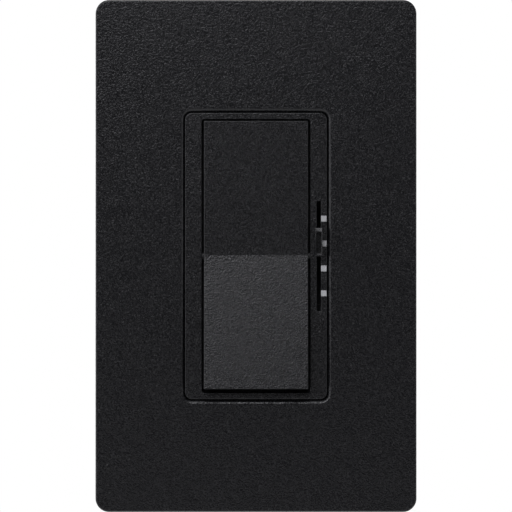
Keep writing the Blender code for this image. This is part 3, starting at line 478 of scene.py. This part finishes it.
def spark_eroded_plastic(name, dark, light, edge_highlight_colour, grain_mm, rough, bump_mm):
    """Black plastic from a spark-eroded mould: a fine pebbled skin, and every edge painted a little paler as a
    painted highlight.

    To the eye it is a matt black with a faint sparkle where the light comes back, and it never mirrors.
    The real pebbles are about 0.05 mm across; they are drawn coarser, because finer ones would not show.
    """
    material, tree, shader, place_in = start_material(name)
    grain = add_node(tree, "TexNoise", {"Vector": place_in, "Scale": per_metre(grain_mm), "Detail": 1.0,
                                        "Roughness": 0.5})
    gloss = add_node(tree, "TexNoise", {"Vector": place_in, "Scale": per_metre(GLOSS_SIZE * grain_mm),
                                        "Detail": 1.0})
    shade = add_node(tree, "MapRange", {"Value": gloss.outputs["Fac"], "From Min": 0.4, "From Max": 0.7})
    colour = add_node(tree, "Mix", {"Factor": shade.outputs["Result"]}, data_type="RGBA")
    colour.inputs["A"].default_value = linear(dark)
    colour.inputs["B"].default_value = linear(light)
    # Painted highlight: the colour turns paler along every edge, where the surface bends away from the flat face
    bevelled = add_node(tree, "Bevel", {"Radius": EDGE_HIGHLIGHT_WIDTH}, samples=4)
    true_face = add_node(tree, "NewGeometry")
    facing = add_node(tree, "VectorMath", {0: bevelled.outputs["Normal"], 1: true_face.outputs["Normal"]},
                      operation="DOT_PRODUCT")
    edge = add_node(tree, "MapRange", {"Value": facing.outputs["Value"], "From Min": 0.999, "From Max": 0.93,
                                       "To Min": 0.0, "To Max": 1.0})
    painted_edge_highlight = add_node(tree, "Mix", {"Factor": edge.outputs["Result"]}, data_type="RGBA")
    tree.links.new(colour.outputs["Result"], painted_edge_highlight.inputs["A"])
    painted_edge_highlight.inputs["B"].default_value = linear(edge_highlight_colour)
    tree.links.new(painted_edge_highlight.outputs["Result"], shader.inputs["Base Color"])
    roughness = add_node(tree, "MapRange", {"Value": gloss.outputs["Fac"], "From Min": 0.35, "From Max": 0.65,
                                            "To Min": rough - GLOSS_SPREAD, "To Max": rough + GLOSS_SPREAD})
    tree.links.new(roughness.outputs["Result"], shader.inputs["Roughness"])
    bump = add_node(tree, "Bump", {"Height": grain.outputs["Fac"], "Distance": bump_mm * MM, "Strength": 1.0})
    tree.links.new(bump.outputs["Normal"], shader.inputs["Normal"])
    shader.inputs["IOR"].default_value = 1.5
    return material


def grained(name, dark, light, grain_mm, rough, bump_mm, metallic=0.0, stretch=(1.0, 1.0, 1.0)):
    """Surface with one grain for its colour, gloss and relief; stretch draws it out along an axis."""
    material, tree, shader, place_in = start_material(name)
    mapped = add_node(tree, "Mapping", {"Vector": place_in, "Scale": stretch})
    grain = add_node(tree, "TexNoise", {"Vector": mapped.outputs["Vector"], "Scale": per_metre(grain_mm),
                                        "Detail": 4.0, "Roughness": 0.6})
    spread = add_node(tree, "MapRange", {"Value": grain.outputs["Fac"], "From Min": 0.3, "From Max": 0.7})
    colour = add_node(tree, "Mix", {"Factor": spread.outputs["Result"]}, data_type="RGBA")
    colour.inputs["A"].default_value = linear(dark)
    colour.inputs["B"].default_value = linear(light)
    tree.links.new(colour.outputs["Result"], shader.inputs["Base Color"])
    smoothest = max(LEAST_ROUGH, rough - GRAIN_SPREAD)
    roughness = add_node(tree, "MapRange", {"Value": grain.outputs["Fac"], "From Min": 0.3, "From Max": 0.7,
                                            "To Min": smoothest, "To Max": rough + GRAIN_SPREAD})
    tree.links.new(roughness.outputs["Result"], shader.inputs["Roughness"])
    bump = add_node(tree, "Bump", {"Height": grain.outputs["Fac"], "Distance": bump_mm * MM, "Strength": 0.8})
    tree.links.new(bump.outputs["Normal"], shader.inputs["Normal"])
    shader.inputs["Metallic"].default_value = metallic
    return material


def glass_laminate():
    """Circuit board: green solder mask over woven glass, whose bundles show as a fine grid."""
    material, tree, shader, place_in = start_material("solder_masked_glass_laminate")
    turn = add_node(tree, "Mapping", {"Vector": place_in, "Rotation": (math.radians(90), 0.0, 0.0)})
    weave = add_node(tree, "TexBrick", {"Vector": turn.outputs["Vector"], "Scale": per_metre(1.6),
                                        "Mortar Size": 0.02, "Color1": linear("#1f5c33"),
                                        "Color2": linear("#236638"), "Mortar": linear("#17492a")})
    tree.links.new(weave.outputs["Color"], shader.inputs["Base Color"])
    bump = add_node(tree, "Bump", {"Height": weave.outputs["Fac"], "Distance": 0.02 * MM, "Strength": 0.5})
    tree.links.new(bump.outputs["Normal"], shader.inputs["Normal"])
    shader.inputs["Roughness"].default_value = 0.35
    return material


def frosted_light_pipe():
    """Frosted moulded acrylic: pale grey, and light spreads inside it, so that the lugs look evenly lit."""
    material, tree, shader, place_in = start_material("frosted_acrylic")
    cloud = add_node(tree, "TexNoise", {"Vector": place_in, "Scale": per_metre(0.5), "Detail": 2.0})
    colour = add_node(tree, "Mix", {"Factor": cloud.outputs["Fac"]}, data_type="RGBA")
    colour.inputs["A"].default_value = linear("#acacae")
    colour.inputs["B"].default_value = linear("#babbbc")
    tree.links.new(colour.outputs["Result"], shader.inputs["Base Color"])
    bump = add_node(tree, "Bump", {"Height": cloud.outputs["Fac"], "Distance": 0.01 * MM, "Strength": 0.5})
    tree.links.new(bump.outputs["Normal"], shader.inputs["Normal"])
    shader.inputs["Roughness"].default_value = 0.4
    shader.inputs["IOR"].default_value = 1.49
    shader.inputs["Subsurface Weight"].default_value = 0.3
    shader.inputs["Subsurface Radius"].default_value = (1.0, 1.0, 1.0)
    shader.inputs["Subsurface Scale"].default_value = 0.4 * MM
    return material


def make_materials():
    """One material for each of the record's slots, and a finer black for the knob."""
    rolled = (0.08, 1.0, 1.0)
    drawn_out = (0.2, 1.0, 1.0)
    return {
        # Cover in spark-eroded ABS: matt black, faintly speckled, a little paler than the device in it
        # The third colour of each spark-eroded plastic is the painted highlight along its edges
        "black_plate": spark_eroded_plastic(
            "spark_eroded_abs", "#0f0f11", "#171719", "#1d1d1f", grain_mm=0.31, rough=0.225, bump_mm=0.07),
        # Frame and paddle in spark-eroded polycarbonate: the same matt black with a slightly broader sheen
        "black_device": spark_eroded_plastic(
            "spark_eroded_polycarbonate", "#0e0e10", "#151517", "#1b1b1d", grain_mm=0.31, rough=0.25,
            bump_mm=0.07),
        # Knob from a finer-eroded mould: nearly plain, so that its thin rails draw clean bright lines
        "fine_black": spark_eroded_plastic(
            "fine_polycarbonate", "#0e0e10", "#151517", "#1b1b1d", grain_mm=0.2, rough=0.27, bump_mm=0.012),
        # Moulded polypropylene: dull and very dark, it swallows the light that falls into a gap
        "black_adapter": grained(
            "moulded_polypropylene", "#0d0d0e", "#131314", grain_mm=0.5, rough=0.7, bump_mm=0.02),
        # Glass-filled nylon: dark grey with a dry, slightly mottled skin from the fibres below it
        "housing_grey": grained(
            "moulded_glass_filled_nylon", "#2f2f31", "#39393b", grain_mm=0.6, rough=0.55, bump_mm=0.03),
        # Moulded phenolic: deep brown with a low, even shine
        "switch_phenolic": grained(
            "moulded_phenolic", "#4a2a1e", "#5a3324", grain_mm=0.4, rough=0.5, bump_mm=0.02),
        "clear_light_pipe": frosted_light_pipe(),
        # Natural acetal: milky white, waxy and smooth
        "white_acetal": grained(
            "moulded_acetal", "#dcdcd6", "#e6e6e0", grain_mm=0.8, rough=0.35, bump_mm=0.005),
        # Rolled aluminium: pale and satin, with fine lines along the rolling direction
        "aluminium_strap": grained(
            "rolled_aluminium", "#b9bbbe", "#d2d4d6", grain_mm=0.35, rough=0.33, bump_mm=0.006,
            metallic=1.0, stretch=rolled),
        # Bright zinc plate: cool grey metal with a soft, slightly cloudy mirror
        "zinc_steel": grained(
            "bright_zinc_plate", "#a9abae", "#c6c8ca", grain_mm=0.5, rough=0.28, bump_mm=0.004,
            metallic=1.0),
        # Black oxide: dark oily metal whose edges still glint
        "black_screw": grained(
            "black_oxide_steel", "#1b1b1c", "#2a2a2b", grain_mm=0.3, rough=0.4, bump_mm=0.005,
            metallic=0.8),
        # Green passivated steel: the metal's shine seen through a green film
        "green_screw": grained(
            "green_passivated_steel", "#1f6b35", "#2c8a47", grain_mm=0.4, rough=0.35, bump_mm=0.005,
            metallic=0.7),
        # Stamped brass strip: warm yellow with faint rolling lines
        "terminal_brass": grained(
            "stamped_brass", "#b08d4a", "#cba862", grain_mm=0.4, rough=0.3, bump_mm=0.005, metallic=1.0,
            stretch=rolled),
        # Fine silver contact: nearly white and softly mirrored
        "contact_silver": grained(
            "fine_silver", "#d4d3cf", "#e4e3df", grain_mm=0.3, rough=0.25, bump_mm=0.003, metallic=1.0),
        # Drawn spring wire: darker steel with a tight, clean shine
        "spring_steel": grained(
            "drawn_spring_steel", "#85868a", "#9c9da0", grain_mm=0.2, rough=0.3, bump_mm=0.003,
            metallic=1.0),
        # Enamelled copper wire: reddish metal under a glossy lacquer
        "winding_copper": grained(
            "enamelled_copper_wire", "#a4552c", "#bd6a3c", grain_mm=0.5, rough=0.25, bump_mm=0.003,
            metallic=1.0),
        # Sintered ferrite: charcoal, dry and finely pitted
        "ferrite": grained(
            "sintered_ferrite", "#343436", "#434346", grain_mm=0.2, rough=0.65, bump_mm=0.02),
        "board_green": glass_laminate(),
        # Vulcanised fibre: dull brick red with a paper-like nap drawn along the sheet
        "fibre_red": grained(
            "vulcanised_fibre", "#6d2f22", "#82402f", grain_mm=0.4, rough=0.65, bump_mm=0.02,
            stretch=drawn_out),
        # Thermal pad: chalky grey rubber without any shine
        "pad_grey": grained(
            "thermal_pad_rubber", "#8f8f92", "#a1a1a4", grain_mm=0.5, rough=0.7, bump_mm=0.01),
        # Moulded epoxy: smooth black package with a soft sheen
        "epoxy_black": grained(
            "moulded_epoxy", "#202021", "#282829", grain_mm=0.3, rough=0.5, bump_mm=0.01),
        # Dipped epoxy: thick blue coat, glossy and slightly lumpy
        "capacitor_blue": grained(
            "dipped_epoxy_blue", "#27508f", "#2f5ea4", grain_mm=1.2, rough=0.25, bump_mm=0.02),
        # Lacquered ceramic: tan body with a thin satin lacquer
        "resistor_tan": grained(
            "lacquered_ceramic", "#b89468", "#c9a87c", grain_mm=0.6, rough=0.35, bump_mm=0.01),
        # Tinted glass bead: red-brown and very glossy
        "diac_glass": grained(
            "tinted_glass_bead", "#7d2f1c", "#96402a", grain_mm=0.8, rough=0.12, bump_mm=0.002),
        # Diffused epoxy lens: milky white and smooth
        "led_white": grained(
            "diffused_led_epoxy", "#d6dad6", "#e2e6e2", grain_mm=0.6, rough=0.2, bump_mm=0.002),
        # Printed carbon: black ink with a fine, slightly glossy grain
        "track_black": grained(
            "printed_carbon_track", "#1f1f20", "#2c2c2d", grain_mm=0.15, rough=0.45, bump_mm=0.008),
    }


# ---------------------------------------------------------------- front pieces

def is_window_edge(edge):
    return (lies_at(edge, Y, PLATE_FRONT) and is_sharp(edge)
            and abs(edge.verts[0].co.x) < WINDOW_HALF_WIDTH + CLEAR
            and abs(edge.verts[0].co.z) < WINDOW_HALF_HEIGHT + CLEAR)


def make_cover_plate(look):
    """Screwless cover: rounded corners and edge, a window with a rounded lip, and a hollow back."""
    cover = add_block("cover_plate", PLATE_LOW, PLATE_HIGH)
    round_edges(cover, PLATE_CORNER, 14, lambda edge: runs_along(edge, Y))
    round_edges(cover, PLATE_EDGE_ROUND, 6, lambda edge: lies_at(edge, Y, PLATE_FRONT))
    carve(cover, rounded_cutter(WINDOW_HALF_WIDTH, (PLATE_FRONT - CLEAR, PLATE_HIGH[Y]), WINDOW_HALF_HEIGHT,
                                WINDOW_CORNER))
    round_edges(cover, LIP_ROUND, 8, is_window_edge)
    wall_back = PLATE_FRONT + PLATE_FRONT_WALL
    inner_x = PLATE_HIGH[X] - PLATE_SIDE_WALL
    inner_z = PLATE_HIGH[Z] - PLATE_SIDE_WALL
    carve(cover, rounded_cutter(inner_x, (wall_back, CLEAR), inner_z, PLATE_INNER_CORNER))
    rib = centred_block("rib", CLIP_RIB_HALF_WIDTH, CLIP_RIB_DEPTHS, CLIP_RIB_HALF_LENGTH)
    round_edges(rib, CLIP_RIB_ROUND, 2, lambda edge: True)
    fuse(cover, *[copy_of(rib, "rib", (side * inner_x, 0.0, end * CLIP_RIB_Z)) for side, end in CORNERS])
    bpy.data.objects.remove(rib, do_unlink=True)
    for side in (-1, 1):
        fuse(cover, centred_block("stiffener", STIFFENER_HALF_LENGTH, STIFFENER_DEPTHS, STIFFENER_HALF_WIDTH,
                                  (0, side * STIFFENER_Z)))
    carve(cover, centred_block("pry_notch", PRY_NOTCH_HALF_WIDTH, (-PRY_NOTCH_DEPTH, CLEAR),
                               PRY_NOTCH_HALF_HEIGHT, (0, PLATE_LOW[Z])))
    place(smooth(cover), "cover", look["black_plate"], "black_plate", "wallplate")


def is_opening_edge(edge):
    return (lies_at(edge, Y, FRAME_FRONT) and is_sharp(edge)
            and abs(edge.verts[0].co.x) < OPENING_HALF_WIDTH + 0.2 * MM)


def is_slot_edge(edge):
    near_slot = all(abs(vert.co.x - SLOT_X) < SLOT_HALF_WIDTH + 0.125 * MM for vert in edge.verts)
    return near_slot and lies_at(edge, Y, FRAME_FRONT) and is_sharp(edge)


def make_device_frame(look):
    """Frame in the window: paddle opening, slider slot, windows for the marks, pin and screw holes."""
    body = add_block("device_frame", FRAME_LOW, FRAME_HIGH)
    round_edges(body, FRAME_CORNER, 10, lambda edge: runs_along(edge, Y))
    round_edges(body, FRAME_EDGE_ROUND, 4, lambda edge: lies_at(edge, Y, FRAME_FRONT))
    through = (FRAME_FRONT - CLEAR, FRAME_BACK + CLEAR)
    carve(body, rounded_cutter(OPENING_HALF_WIDTH, through, OPENING_HALF_HEIGHT, OPENING_CORNER, segments=5))
    round_edges(body, OPENING_EDGE_ROUND, 3, is_opening_edge)
    wall_back = FRAME_FRONT + FACE_WALL
    carve(body, centred_block("slot", SLOT_HALF_WIDTH, through, SLOT_HALF_LENGTH, (SLOT_X, 0)))
    round_edges(body, SLOT_EDGE_ROUND, 3, is_slot_edge)
    carve(body, add_block("pocket", (SPINE_POCKET_X[0], wall_back, SPINE_POCKET_Z[0]),
                          (SPINE_POCKET_X[1], 0, SPINE_POCKET_Z[1])))
    half = MARK_HALF_HEIGHT + MARK_PLAY
    for z in MARK_HEIGHTS:
        carve(body, add_block("mark_window", (MARK_WINDOW_X[0], FRAME_FRONT - CLEAR, z - half),
                              (MARK_WINDOW_X[1], wall_back + 0.05 * MM, z + half)))
    carve(body, round_bar("pin_bores", PIN_BORE_RADIUS, (-PIN_BORE_REACH, PADDLE_PIVOT.y, 0),
                          (PIN_BORE_REACH, PADDLE_PIVOT.y, 0)))
    for z in (-RELIEF_Z, RELIEF_Z):
        carve(body, add_block("relief", (RELIEF_X[0], wall_back, z - RELIEF_HALF_LENGTH),
                              (RELIEF_X[1], 0, z + RELIEF_HALF_LENGTH)))
    for side, end in CORNERS:
        x, z = side * SCREW_X, end * SCREW_Z
        carve(body, round_bar("screw_hole", SCREW_HOLE_RADIUS, (x, SCREW_HOLE_TOP, z), (x, 0, z), sides=24))
    place(smooth(body), "chassis", look["black_device"], "black_device", "bezel")


def is_outer(edge):
    return all(vert.co.y < PADDLE_SHOWN_DEPTH for vert in edge.verts)


def carve_paddle_pockets(body, tilt):
    """Four hollows behind the face, whose floors follow its two slopes."""
    inner_end = PADDLE_POCKET_Z - PADDLE_POCKET_HALF_LENGTH
    for side, end in CORNERS:
        pocket = centred_block("pocket", PADDLE_POCKET_HALF_WIDTH, (PADDLE_POCKET_FLOOR, 3 * MM),
                               PADDLE_POCKET_HALF_LENGTH, (side * PADDLE_POCKET_X, end * PADDLE_POCKET_Z))
        for vert in pocket.data.vertices:
            if vert.co.y < 0:
                vert.co.y -= (abs(vert.co.z) - inner_end) * math.tan(tilt)
        carve(body, pocket)


def make_paddle(look):
    """Rocker: two flat halves that meet in a valley, undercut ends, ribs, pivot pins and a bored post."""
    tilt = PADDLE_SWING / 2
    corner_y = PADDLE_FACE * math.cos(tilt) + PADDLE_REACH * math.sin(tilt)
    corner_z = PADDLE_REACH * math.cos(tilt) - PADDLE_FACE * math.sin(tilt)
    body = centred_block("paddle", PADDLE_HALF_WIDTH, (-corner_y, PADDLE_RIM), corner_z)
    choose(body, "EDGE", lambda edge: runs_along(edge, Z))
    bpy.ops.mesh.subdivide(number_cuts=1)
    leave_edit()
    choose(body, "EDGE", lambda edge: runs_along(edge, Y) and abs(edge.verts[0].co.z) > CLEAR)
    bpy.ops.mesh.subdivide(number_cuts=9)
    leave_edit()
    for vert in body.data.vertices:
        if abs(vert.co.z) < NEAR and vert.co.y < 0:
            vert.co.y = -PADDLE_FACE / math.cos(tilt)
        elif abs(vert.co.z) > CLEAR:
            end_z = corner_z - (vert.co.y + corner_y) * math.tan(PADDLE_SWING)
            vert.co.z = math.copysign(end_z, vert.co.z)
    round_edges(body, PADDLE_EDGE_ROUND, 4, lambda edge: is_sharp(edge) and is_outer(edge))
    carve_paddle_pockets(body, tilt)
    post = round_bar("post", POST_RADIUS, (0, 0, 0), (0, POST_LENGTH, 0))
    pins = [round_bar("pin", PIN_RADIUS, (side * PIN_ENDS[0], 0, 0), (side * PIN_ENDS[1], 0, 0))
            for side in (-1, 1)]
    fuse(body, post, *pins)
    carve(body, round_bar("bore", POST_BORE_RADIUS, (0, POST_BORE_START, 0), (0, POST_LENGTH + CLEAR, 0)))
    choose(body, "EDGE", lambda edge: lies_at(edge, Z, 0.0) and is_outer(edge))
    bpy.ops.mesh.mark_sharp()
    leave_edit()
    body.rotation_euler = (-tilt, 0.0, 0.0)
    body.location = PADDLE_PIVOT
    settle(body)
    place(smooth(body), "paddle", look["black_device"], "black_device", "rocker_paddle")


def make_knob(look):
    """Finger knob: a pocket between two ridges, thin rails at its sides, and two prongs through the slot."""
    low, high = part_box("slider_knob")
    front, back = low[Y], FRAME_FRONT - KNOB_STAND_OFF
    pocket_low, pocket_high = low[Z] + KNOB_BOTTOM_RIDGE, high[Z] - KNOB_TOP_RIDGE
    pocket_right = SLOT_X + KNOB_POCKET_HALF_WIDTH
    knob = add_block("slider_finger_knob", (low[X], front, low[Z]), (high[X], back, high[Z]))
    carve(knob, add_block("pocket", (SLOT_X - KNOB_POCKET_HALF_WIDTH, front - CLEAR, pocket_low),
                          (pocket_right, front + KNOB_POCKET_DEPTH, pocket_high)))
    choose(knob, "EDGE", lambda edge: lies_at(edge, Y, front) and lies_at(edge, Z, high[Z]))
    bpy.ops.transform.translate(value=(0.0, KNOB_RIDGE_LEAN, 0.0))
    leave_edit()
    round_edges(knob, KNOB_POCKET_ROUND, 3, lambda edge: lies_at(edge, Y, front) and (
        lies_at(edge, X, pocket_right) or lies_at(edge, Z, pocket_low)))
    round_edges(knob, KNOB_EDGE_ROUND, 3, lambda edge: is_sharp(edge) and all(
        vert.co.y < back - 0.1 * MM for vert in edge.verts))
    for z in PRONG_HEIGHTS:
        prong = add_block("prong", (SLOT_X - PRONG_HALF_WIDTH, back - PRONG_ROOT, low[Z] + z),
                          (SLOT_X + PRONG_HALF_WIDTH, high[Y], low[Z] + z + PRONG_LENGTH))
        fuse(knob, round_edges(prong, PRONG_ROUND, 1, lambda edge: runs_along(edge, Y)))
    place(smooth(knob), "slider", look["fine_black"], "black_device", "slider_knob")


def make_light_pipe(look):
    """Strip behind the face with a leg to the lamp and four square lugs, slightly crowned at their edges."""
    low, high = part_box("light_pipe")
    strip = add_block("light_pipe_strip", (PIPE_X[0], PIPE_DEPTHS[0], low[Z]),
                      (PIPE_X[1], PIPE_DEPTHS[1], high[Z]))
    fuse(strip, add_block("leg", (PIPE_LEG_X[0], PIPE_LEG_START, high[Z] - PIPE_LEG_LENGTH),
                          (PIPE_LEG_X[1], high[Y], high[Z])))
    lug = add_block("lug", (low[X], low[Y], -MARK_HALF_HEIGHT), (high[X], LUG_BACK, MARK_HALF_HEIGHT))
    fuse(lug, centred_block("neck", NECK_HALF_WIDTH, NECK_DEPTHS, MARK_HALF_HEIGHT, (NECK_X, 0.0)))
    round_edges(lug, LUG_ROUND, 3, lambda edge: lies_at(edge, Y, low[Y]))
    fuse(strip, *[copy_of(lug, "lug", (0.0, 0.0, z)) for z in MARK_HEIGHTS])
    bpy.data.objects.remove(lug, do_unlink=True)
    place(smooth(strip), "chassis", look["clear_light_pipe"], "clear_light_pipe", "light_pipe")


# ---------------------------------------------------------------- back pieces

def make_softened_pieces(look):
    """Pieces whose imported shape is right: their edges are broken as tooling leaves them."""
    pieces = (
        ("wallplate_adapter", 0.2, "black_adapter"),
        ("yoke", 0.18, "aluminium_strap"),
        ("back_housing", 0.3, "housing_grey"),
        ("screw_retainer_top", 0.1, "fibre_red"),
        ("screw_retainer_bottom", 0.1, "fibre_red"),
        ("traveller_terminal_upper", 0.1, "terminal_brass"),
        ("traveller_terminal_lower", 0.1, "terminal_brass"),
        ("common_terminal", 0.1, "terminal_brass"),
    )
    for node, width_mm, slot in pieces:
        place(softened_copy(node, width_mm * MM), "chassis", look[slot], slot, node)


def make_dust_shield(look):
    """Thin sheet behind the frame, bulged over a rivet's head so that no metal shows beside the paddle."""
    sheet = softened_copy("dust_shield", SHIELD_EDGE_ROUND, segments=1)
    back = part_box("dust_shield")[1][Y]
    foot = middle_of("triac_rivet").z - BULGE_HALF
    top = OPENING_HALF_HEIGHT - RIVET_PLAY
    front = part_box("triac_rivet")[0][Y] - RIVET_PLAY
    bulge = add_block("bulge", (-BULGE_HALF, front, foot), (BULGE_HALF, back, top))
    round_edges(bulge, BULGE_ROUND, 2, lambda edge: lies_at(edge, Y, front))
    carve(bulge, add_block("hollow", (BULGE_WALL - BULGE_HALF, front + BULGE_WALL, foot + BULGE_WALL),
                           (BULGE_HALF - BULGE_WALL, CLEAR, top - BULGE_WALL)))
    place(join_pieces(sheet, bulge), "chassis", look["black_adapter"], "black_adapter", "dust_shield")


def cut_slot(screw, centre, along, depth_axis, depth_mm, half_length_mm, half_width_mm):
    """Straight slot across a screw's head."""
    size = Vector((half_width_mm, half_width_mm, half_width_mm)) * MM
    size[along] = half_length_mm * MM
    size[depth_axis] = depth_mm * MM
    carve(screw, add_block("slot", Vector(centre) - size, Vector(centre) + size))


def place_alike(screw, first, others, look, slot):
    """Place a screw for its first node, and copies of it for the nodes that have the same screw."""
    screw.name = first + "_finished"
    twins = [copy_of(screw, node + "_finished", middle_of(node) - middle_of(first)) for node in others]
    for piece, node in zip([screw] + twins, [first] + others):
        place(piece, "chassis", look[slot], slot, node)


def make_mounting_screws(look):
    """Oval-head machine screws with a rolled thread and a combination recess."""
    first = "mounting_screw_top"
    inwards = Vector((0, 1, 0))
    head = Vector((0.0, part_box(first)[0][Y], middle_of(first).z))
    screw = turned("mounting_screw", MOUNTING_SCREW, head, inwards)
    cut_slot(screw, head, X, Y, depth_mm=0.85, half_length_mm=2.6, half_width_mm=0.4)
    cut_slot(screw, head, Z, Y, depth_mm=0.85, half_length_mm=1.6, half_width_mm=0.4)
    smooth(screw)
    ridge = helical_ridge(root=1.42 * MM, crest=1.66 * MM, base=head + inwards * 2.4 * MM,
                          direction=inwards, length=24.4 * MM)
    place_alike(join_pieces(screw, ridge), first, ["mounting_screw_bottom"], look, "zinc_steel")


def make_adapter_screws(look):
    """Flat-head screws; their threaded ends stand out behind the strap."""
    first = "adapter_screw_top"
    inwards = Vector((0, 1, 0))
    head = Vector((0.0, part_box(first)[0][Y], middle_of(first).z))
    screw = turned("adapter_screw", ADAPTER_SCREW, head, inwards)
    cut_slot(screw, head, X, Y, depth_mm=0.55, half_length_mm=2.2, half_width_mm=0.35)
    smooth(screw)
    ridge = helical_ridge(root=1.27 * MM, crest=1.5 * MM, base=head + inwards * 1.5 * MM,
                          direction=inwards, length=6.4 * MM)
    place_alike(join_pieces(screw, ridge), first, ["adapter_screw_bottom"], look, "black_screw")


def make_side_screws(look):
    """Wire-binding screws: domed heads with a combination recess, two on one side and one on the other."""
    first = "traveller_screw_upper"
    low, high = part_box(first)
    side = 1 if high[X] > 0 else -1
    outwards = Vector((side, 0, 0))
    foot = middle_of(first)
    foot.x = low[X] if side > 0 else high[X]
    screw = turned("side_screw", SIDE_SCREW, foot, outwards)
    tip = foot + outwards * SIDE_SCREW[-1][1] * MM
    cut_slot(screw, tip, Z, X, depth_mm=0.9, half_length_mm=4.0, half_width_mm=0.4)
    cut_slot(screw, tip, Y, X, depth_mm=0.9, half_length_mm=1.7, half_width_mm=0.4)
    smooth(screw)
    turned_round = middle_of(first)
    turned_round.x, turned_round.y = -turned_round.x, -turned_round.y
    common = copy_of(screw, "common_screw_finished", middle_of("common_screw") - turned_round, half_turn=True)
    place(common, "chassis", look["black_screw"], "black_screw", "common_screw")
    place_alike(screw, first, ["traveller_screw_lower"], look, "terminal_brass")


def make_ground_screw(look):
    """Green slotted hexagon head with a washer face, below the strap's bent tab."""
    upwards = Vector((0, 0, 1))
    base = middle_of("ground_screw")
    base.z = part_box("ground_screw")[0][Z]
    screw = turned("ground_screw_finished", GROUND_SCREW_WASHER, base, upwards)
    fuse(screw, turned("hexagon", GROUND_SCREW_HEAD, base, upwards, sides=6))
    cut_slot(screw, base, X, Z, depth_mm=0.75, half_length_mm=3.4, half_width_mm=0.4)
    smooth(screw)
    ridge = helical_ridge(root=1.25 * MM, crest=1.49 * MM, base=base + upwards * 2.1 * MM,
                          direction=upwards, length=2.6 * MM)
    place(join_pieces(screw, ridge), "chassis", look["green_screw"], "green_screw", "ground_screw")


def make_housing_screws(look):
    """Cross-recess pan heads deep in the housing's corners."""
    first = "housing_screw_1"
    head = middle_of(first)
    head.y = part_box(first)[1][Y]
    screw = turned("housing_screw", HOUSING_SCREW, head, (0, -1, 0), sides=32)
    for along in (X, Z):
        cut_slot(screw, head, along, Y, depth_mm=1.0, half_length_mm=1.3, half_width_mm=0.25)
    others = ["housing_screw_2", "housing_screw_3", "housing_screw_4"]
    place_alike(smooth(screw), first, others, look, "zinc_steel")


# ---------------------------------------------------------------- stage

def make_stage():
    """Pale floor below the object."""
    deselect_all()
    bpy.ops.mesh.primitive_circle_add(vertices=96, radius=FLOOR_RADIUS, fill_type="NGON",
                                      location=(0, 0, FLOOR_Z))
    floor = settle(bpy.context.active_object)
    floor.name = "floor"
    material, tree, shader, _ = start_material("matte_white_floor")
    shader.inputs["Base Color"].default_value = linear("#e9e9e7")
    shader.inputs["Roughness"].default_value = 0.9
    shader.inputs["Emission Color"].default_value = (1, 1, 1, 1)
    ray = add_node(tree, "LightPath")
    tree.links.new(ray.outputs["Is Camera Ray"], shader.inputs["Emission Strength"])
    floor.data.materials.append(material)


def add_softbox(name, azimuth, elevation, distance, width, height, power):
    """Area light that faces the object from a direction."""
    around, up = math.radians(azimuth), math.radians(elevation)
    away = Vector((math.sin(around) * math.cos(up), -math.cos(around) * math.cos(up), math.sin(up)))
    lamp = bpy.data.lights.new(name, "AREA")
    lamp.shape = "RECTANGLE"
    lamp.size = width
    lamp.size_y = height
    lamp.energy = power
    lamp.color = (1.0, 1.0, 1.05)
    item = bpy.data.objects.new(name, lamp)
    item.location = away * distance
    item.rotation_mode = "QUATERNION"
    item.rotation_quaternion = away.to_track_quat("Z", "Y")
    bpy.context.scene.collection.objects.link(item)


def make_light():
    add_softbox("key", azimuth=-14, elevation=28, distance=0.9, width=0.5, height=0.34, power=2.6)
    add_softbox("left", azimuth=-62, elevation=12, distance=1.0, width=1.0, height=1.0, power=4.2)
    add_softbox("right", azimuth=65, elevation=8, distance=1.0, width=1.0, height=1.0, power=2.0)
    add_softbox("top", azimuth=0, elevation=68, distance=1.0, width=1.0, height=0.6, power=1.6)
    add_softbox("back_left", azimuth=215, elevation=18, distance=1.2, width=0.9, height=0.9, power=9.0)
    add_softbox("back_right", azimuth=140, elevation=12, distance=1.4, width=0.9, height=0.9, power=6.0)
    world = bpy.data.worlds.new("studio")
    bpy.context.scene.world = world
    world.use_nodes = True
    tree = world.node_tree
    seen = tree.nodes["Background"]
    seen.inputs["Color"].default_value = (1, 1, 1, 1)
    seen.inputs["Strength"].default_value = 1.0
    soft = add_node(tree, "Background", {"Color": (1, 1, 1.05, 1), "Strength": 0.04})
    ray = add_node(tree, "LightPath")
    mixed = add_node(tree, "MixShader", {0: ray.outputs["Is Camera Ray"], 1: soft.outputs["Background"],
                                         2: seen.outputs["Background"]})
    tree.links.new(mixed.outputs["Shader"], tree.nodes["World Output"].inputs["Surface"])


def make_camera():
    """Long lens square on to the plate, which fills the frame from top to bottom."""
    data = bpy.data.cameras.new("camera")
    data.lens = LENS_MM
    data.sensor_width = SENSOR_MM
    data.clip_end = FAR_CLIP
    camera = bpy.data.objects.new("camera", data)
    camera.location = (0.0, PLATE_FRONT - VIEW_HEIGHT * LENS_MM / SENSOR_MM, 0.0)
    camera.rotation_euler = (math.radians(90), 0.0, 0.0)
    bpy.context.scene.collection.objects.link(camera)
    bpy.context.scene.camera = camera


def dress_packed_nodes(look):
    """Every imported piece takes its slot's material, also where a finer piece stands for it."""
    slots = {part["node"]: part["material_slot"] for part in frame["record"]["subparts"]}
    for name, node in frame["nodes"].items():
        node.data.materials.clear()
        node.data.materials.append(look[slots[name]])


look = make_materials()
dress_packed_nodes(look)
make_cover_plate(look)
make_device_frame(look)
make_paddle(look)
make_knob(look)
make_light_pipe(look)
make_softened_pieces(look)
make_dust_shield(look)
make_mounting_screws(look)
make_adapter_screws(look)
make_side_screws(look)
make_ground_screw(look)
make_housing_screws(look)
make_stage()
make_light()
make_camera()
bpy.context.scene.view_settings.view_transform = "Standard"
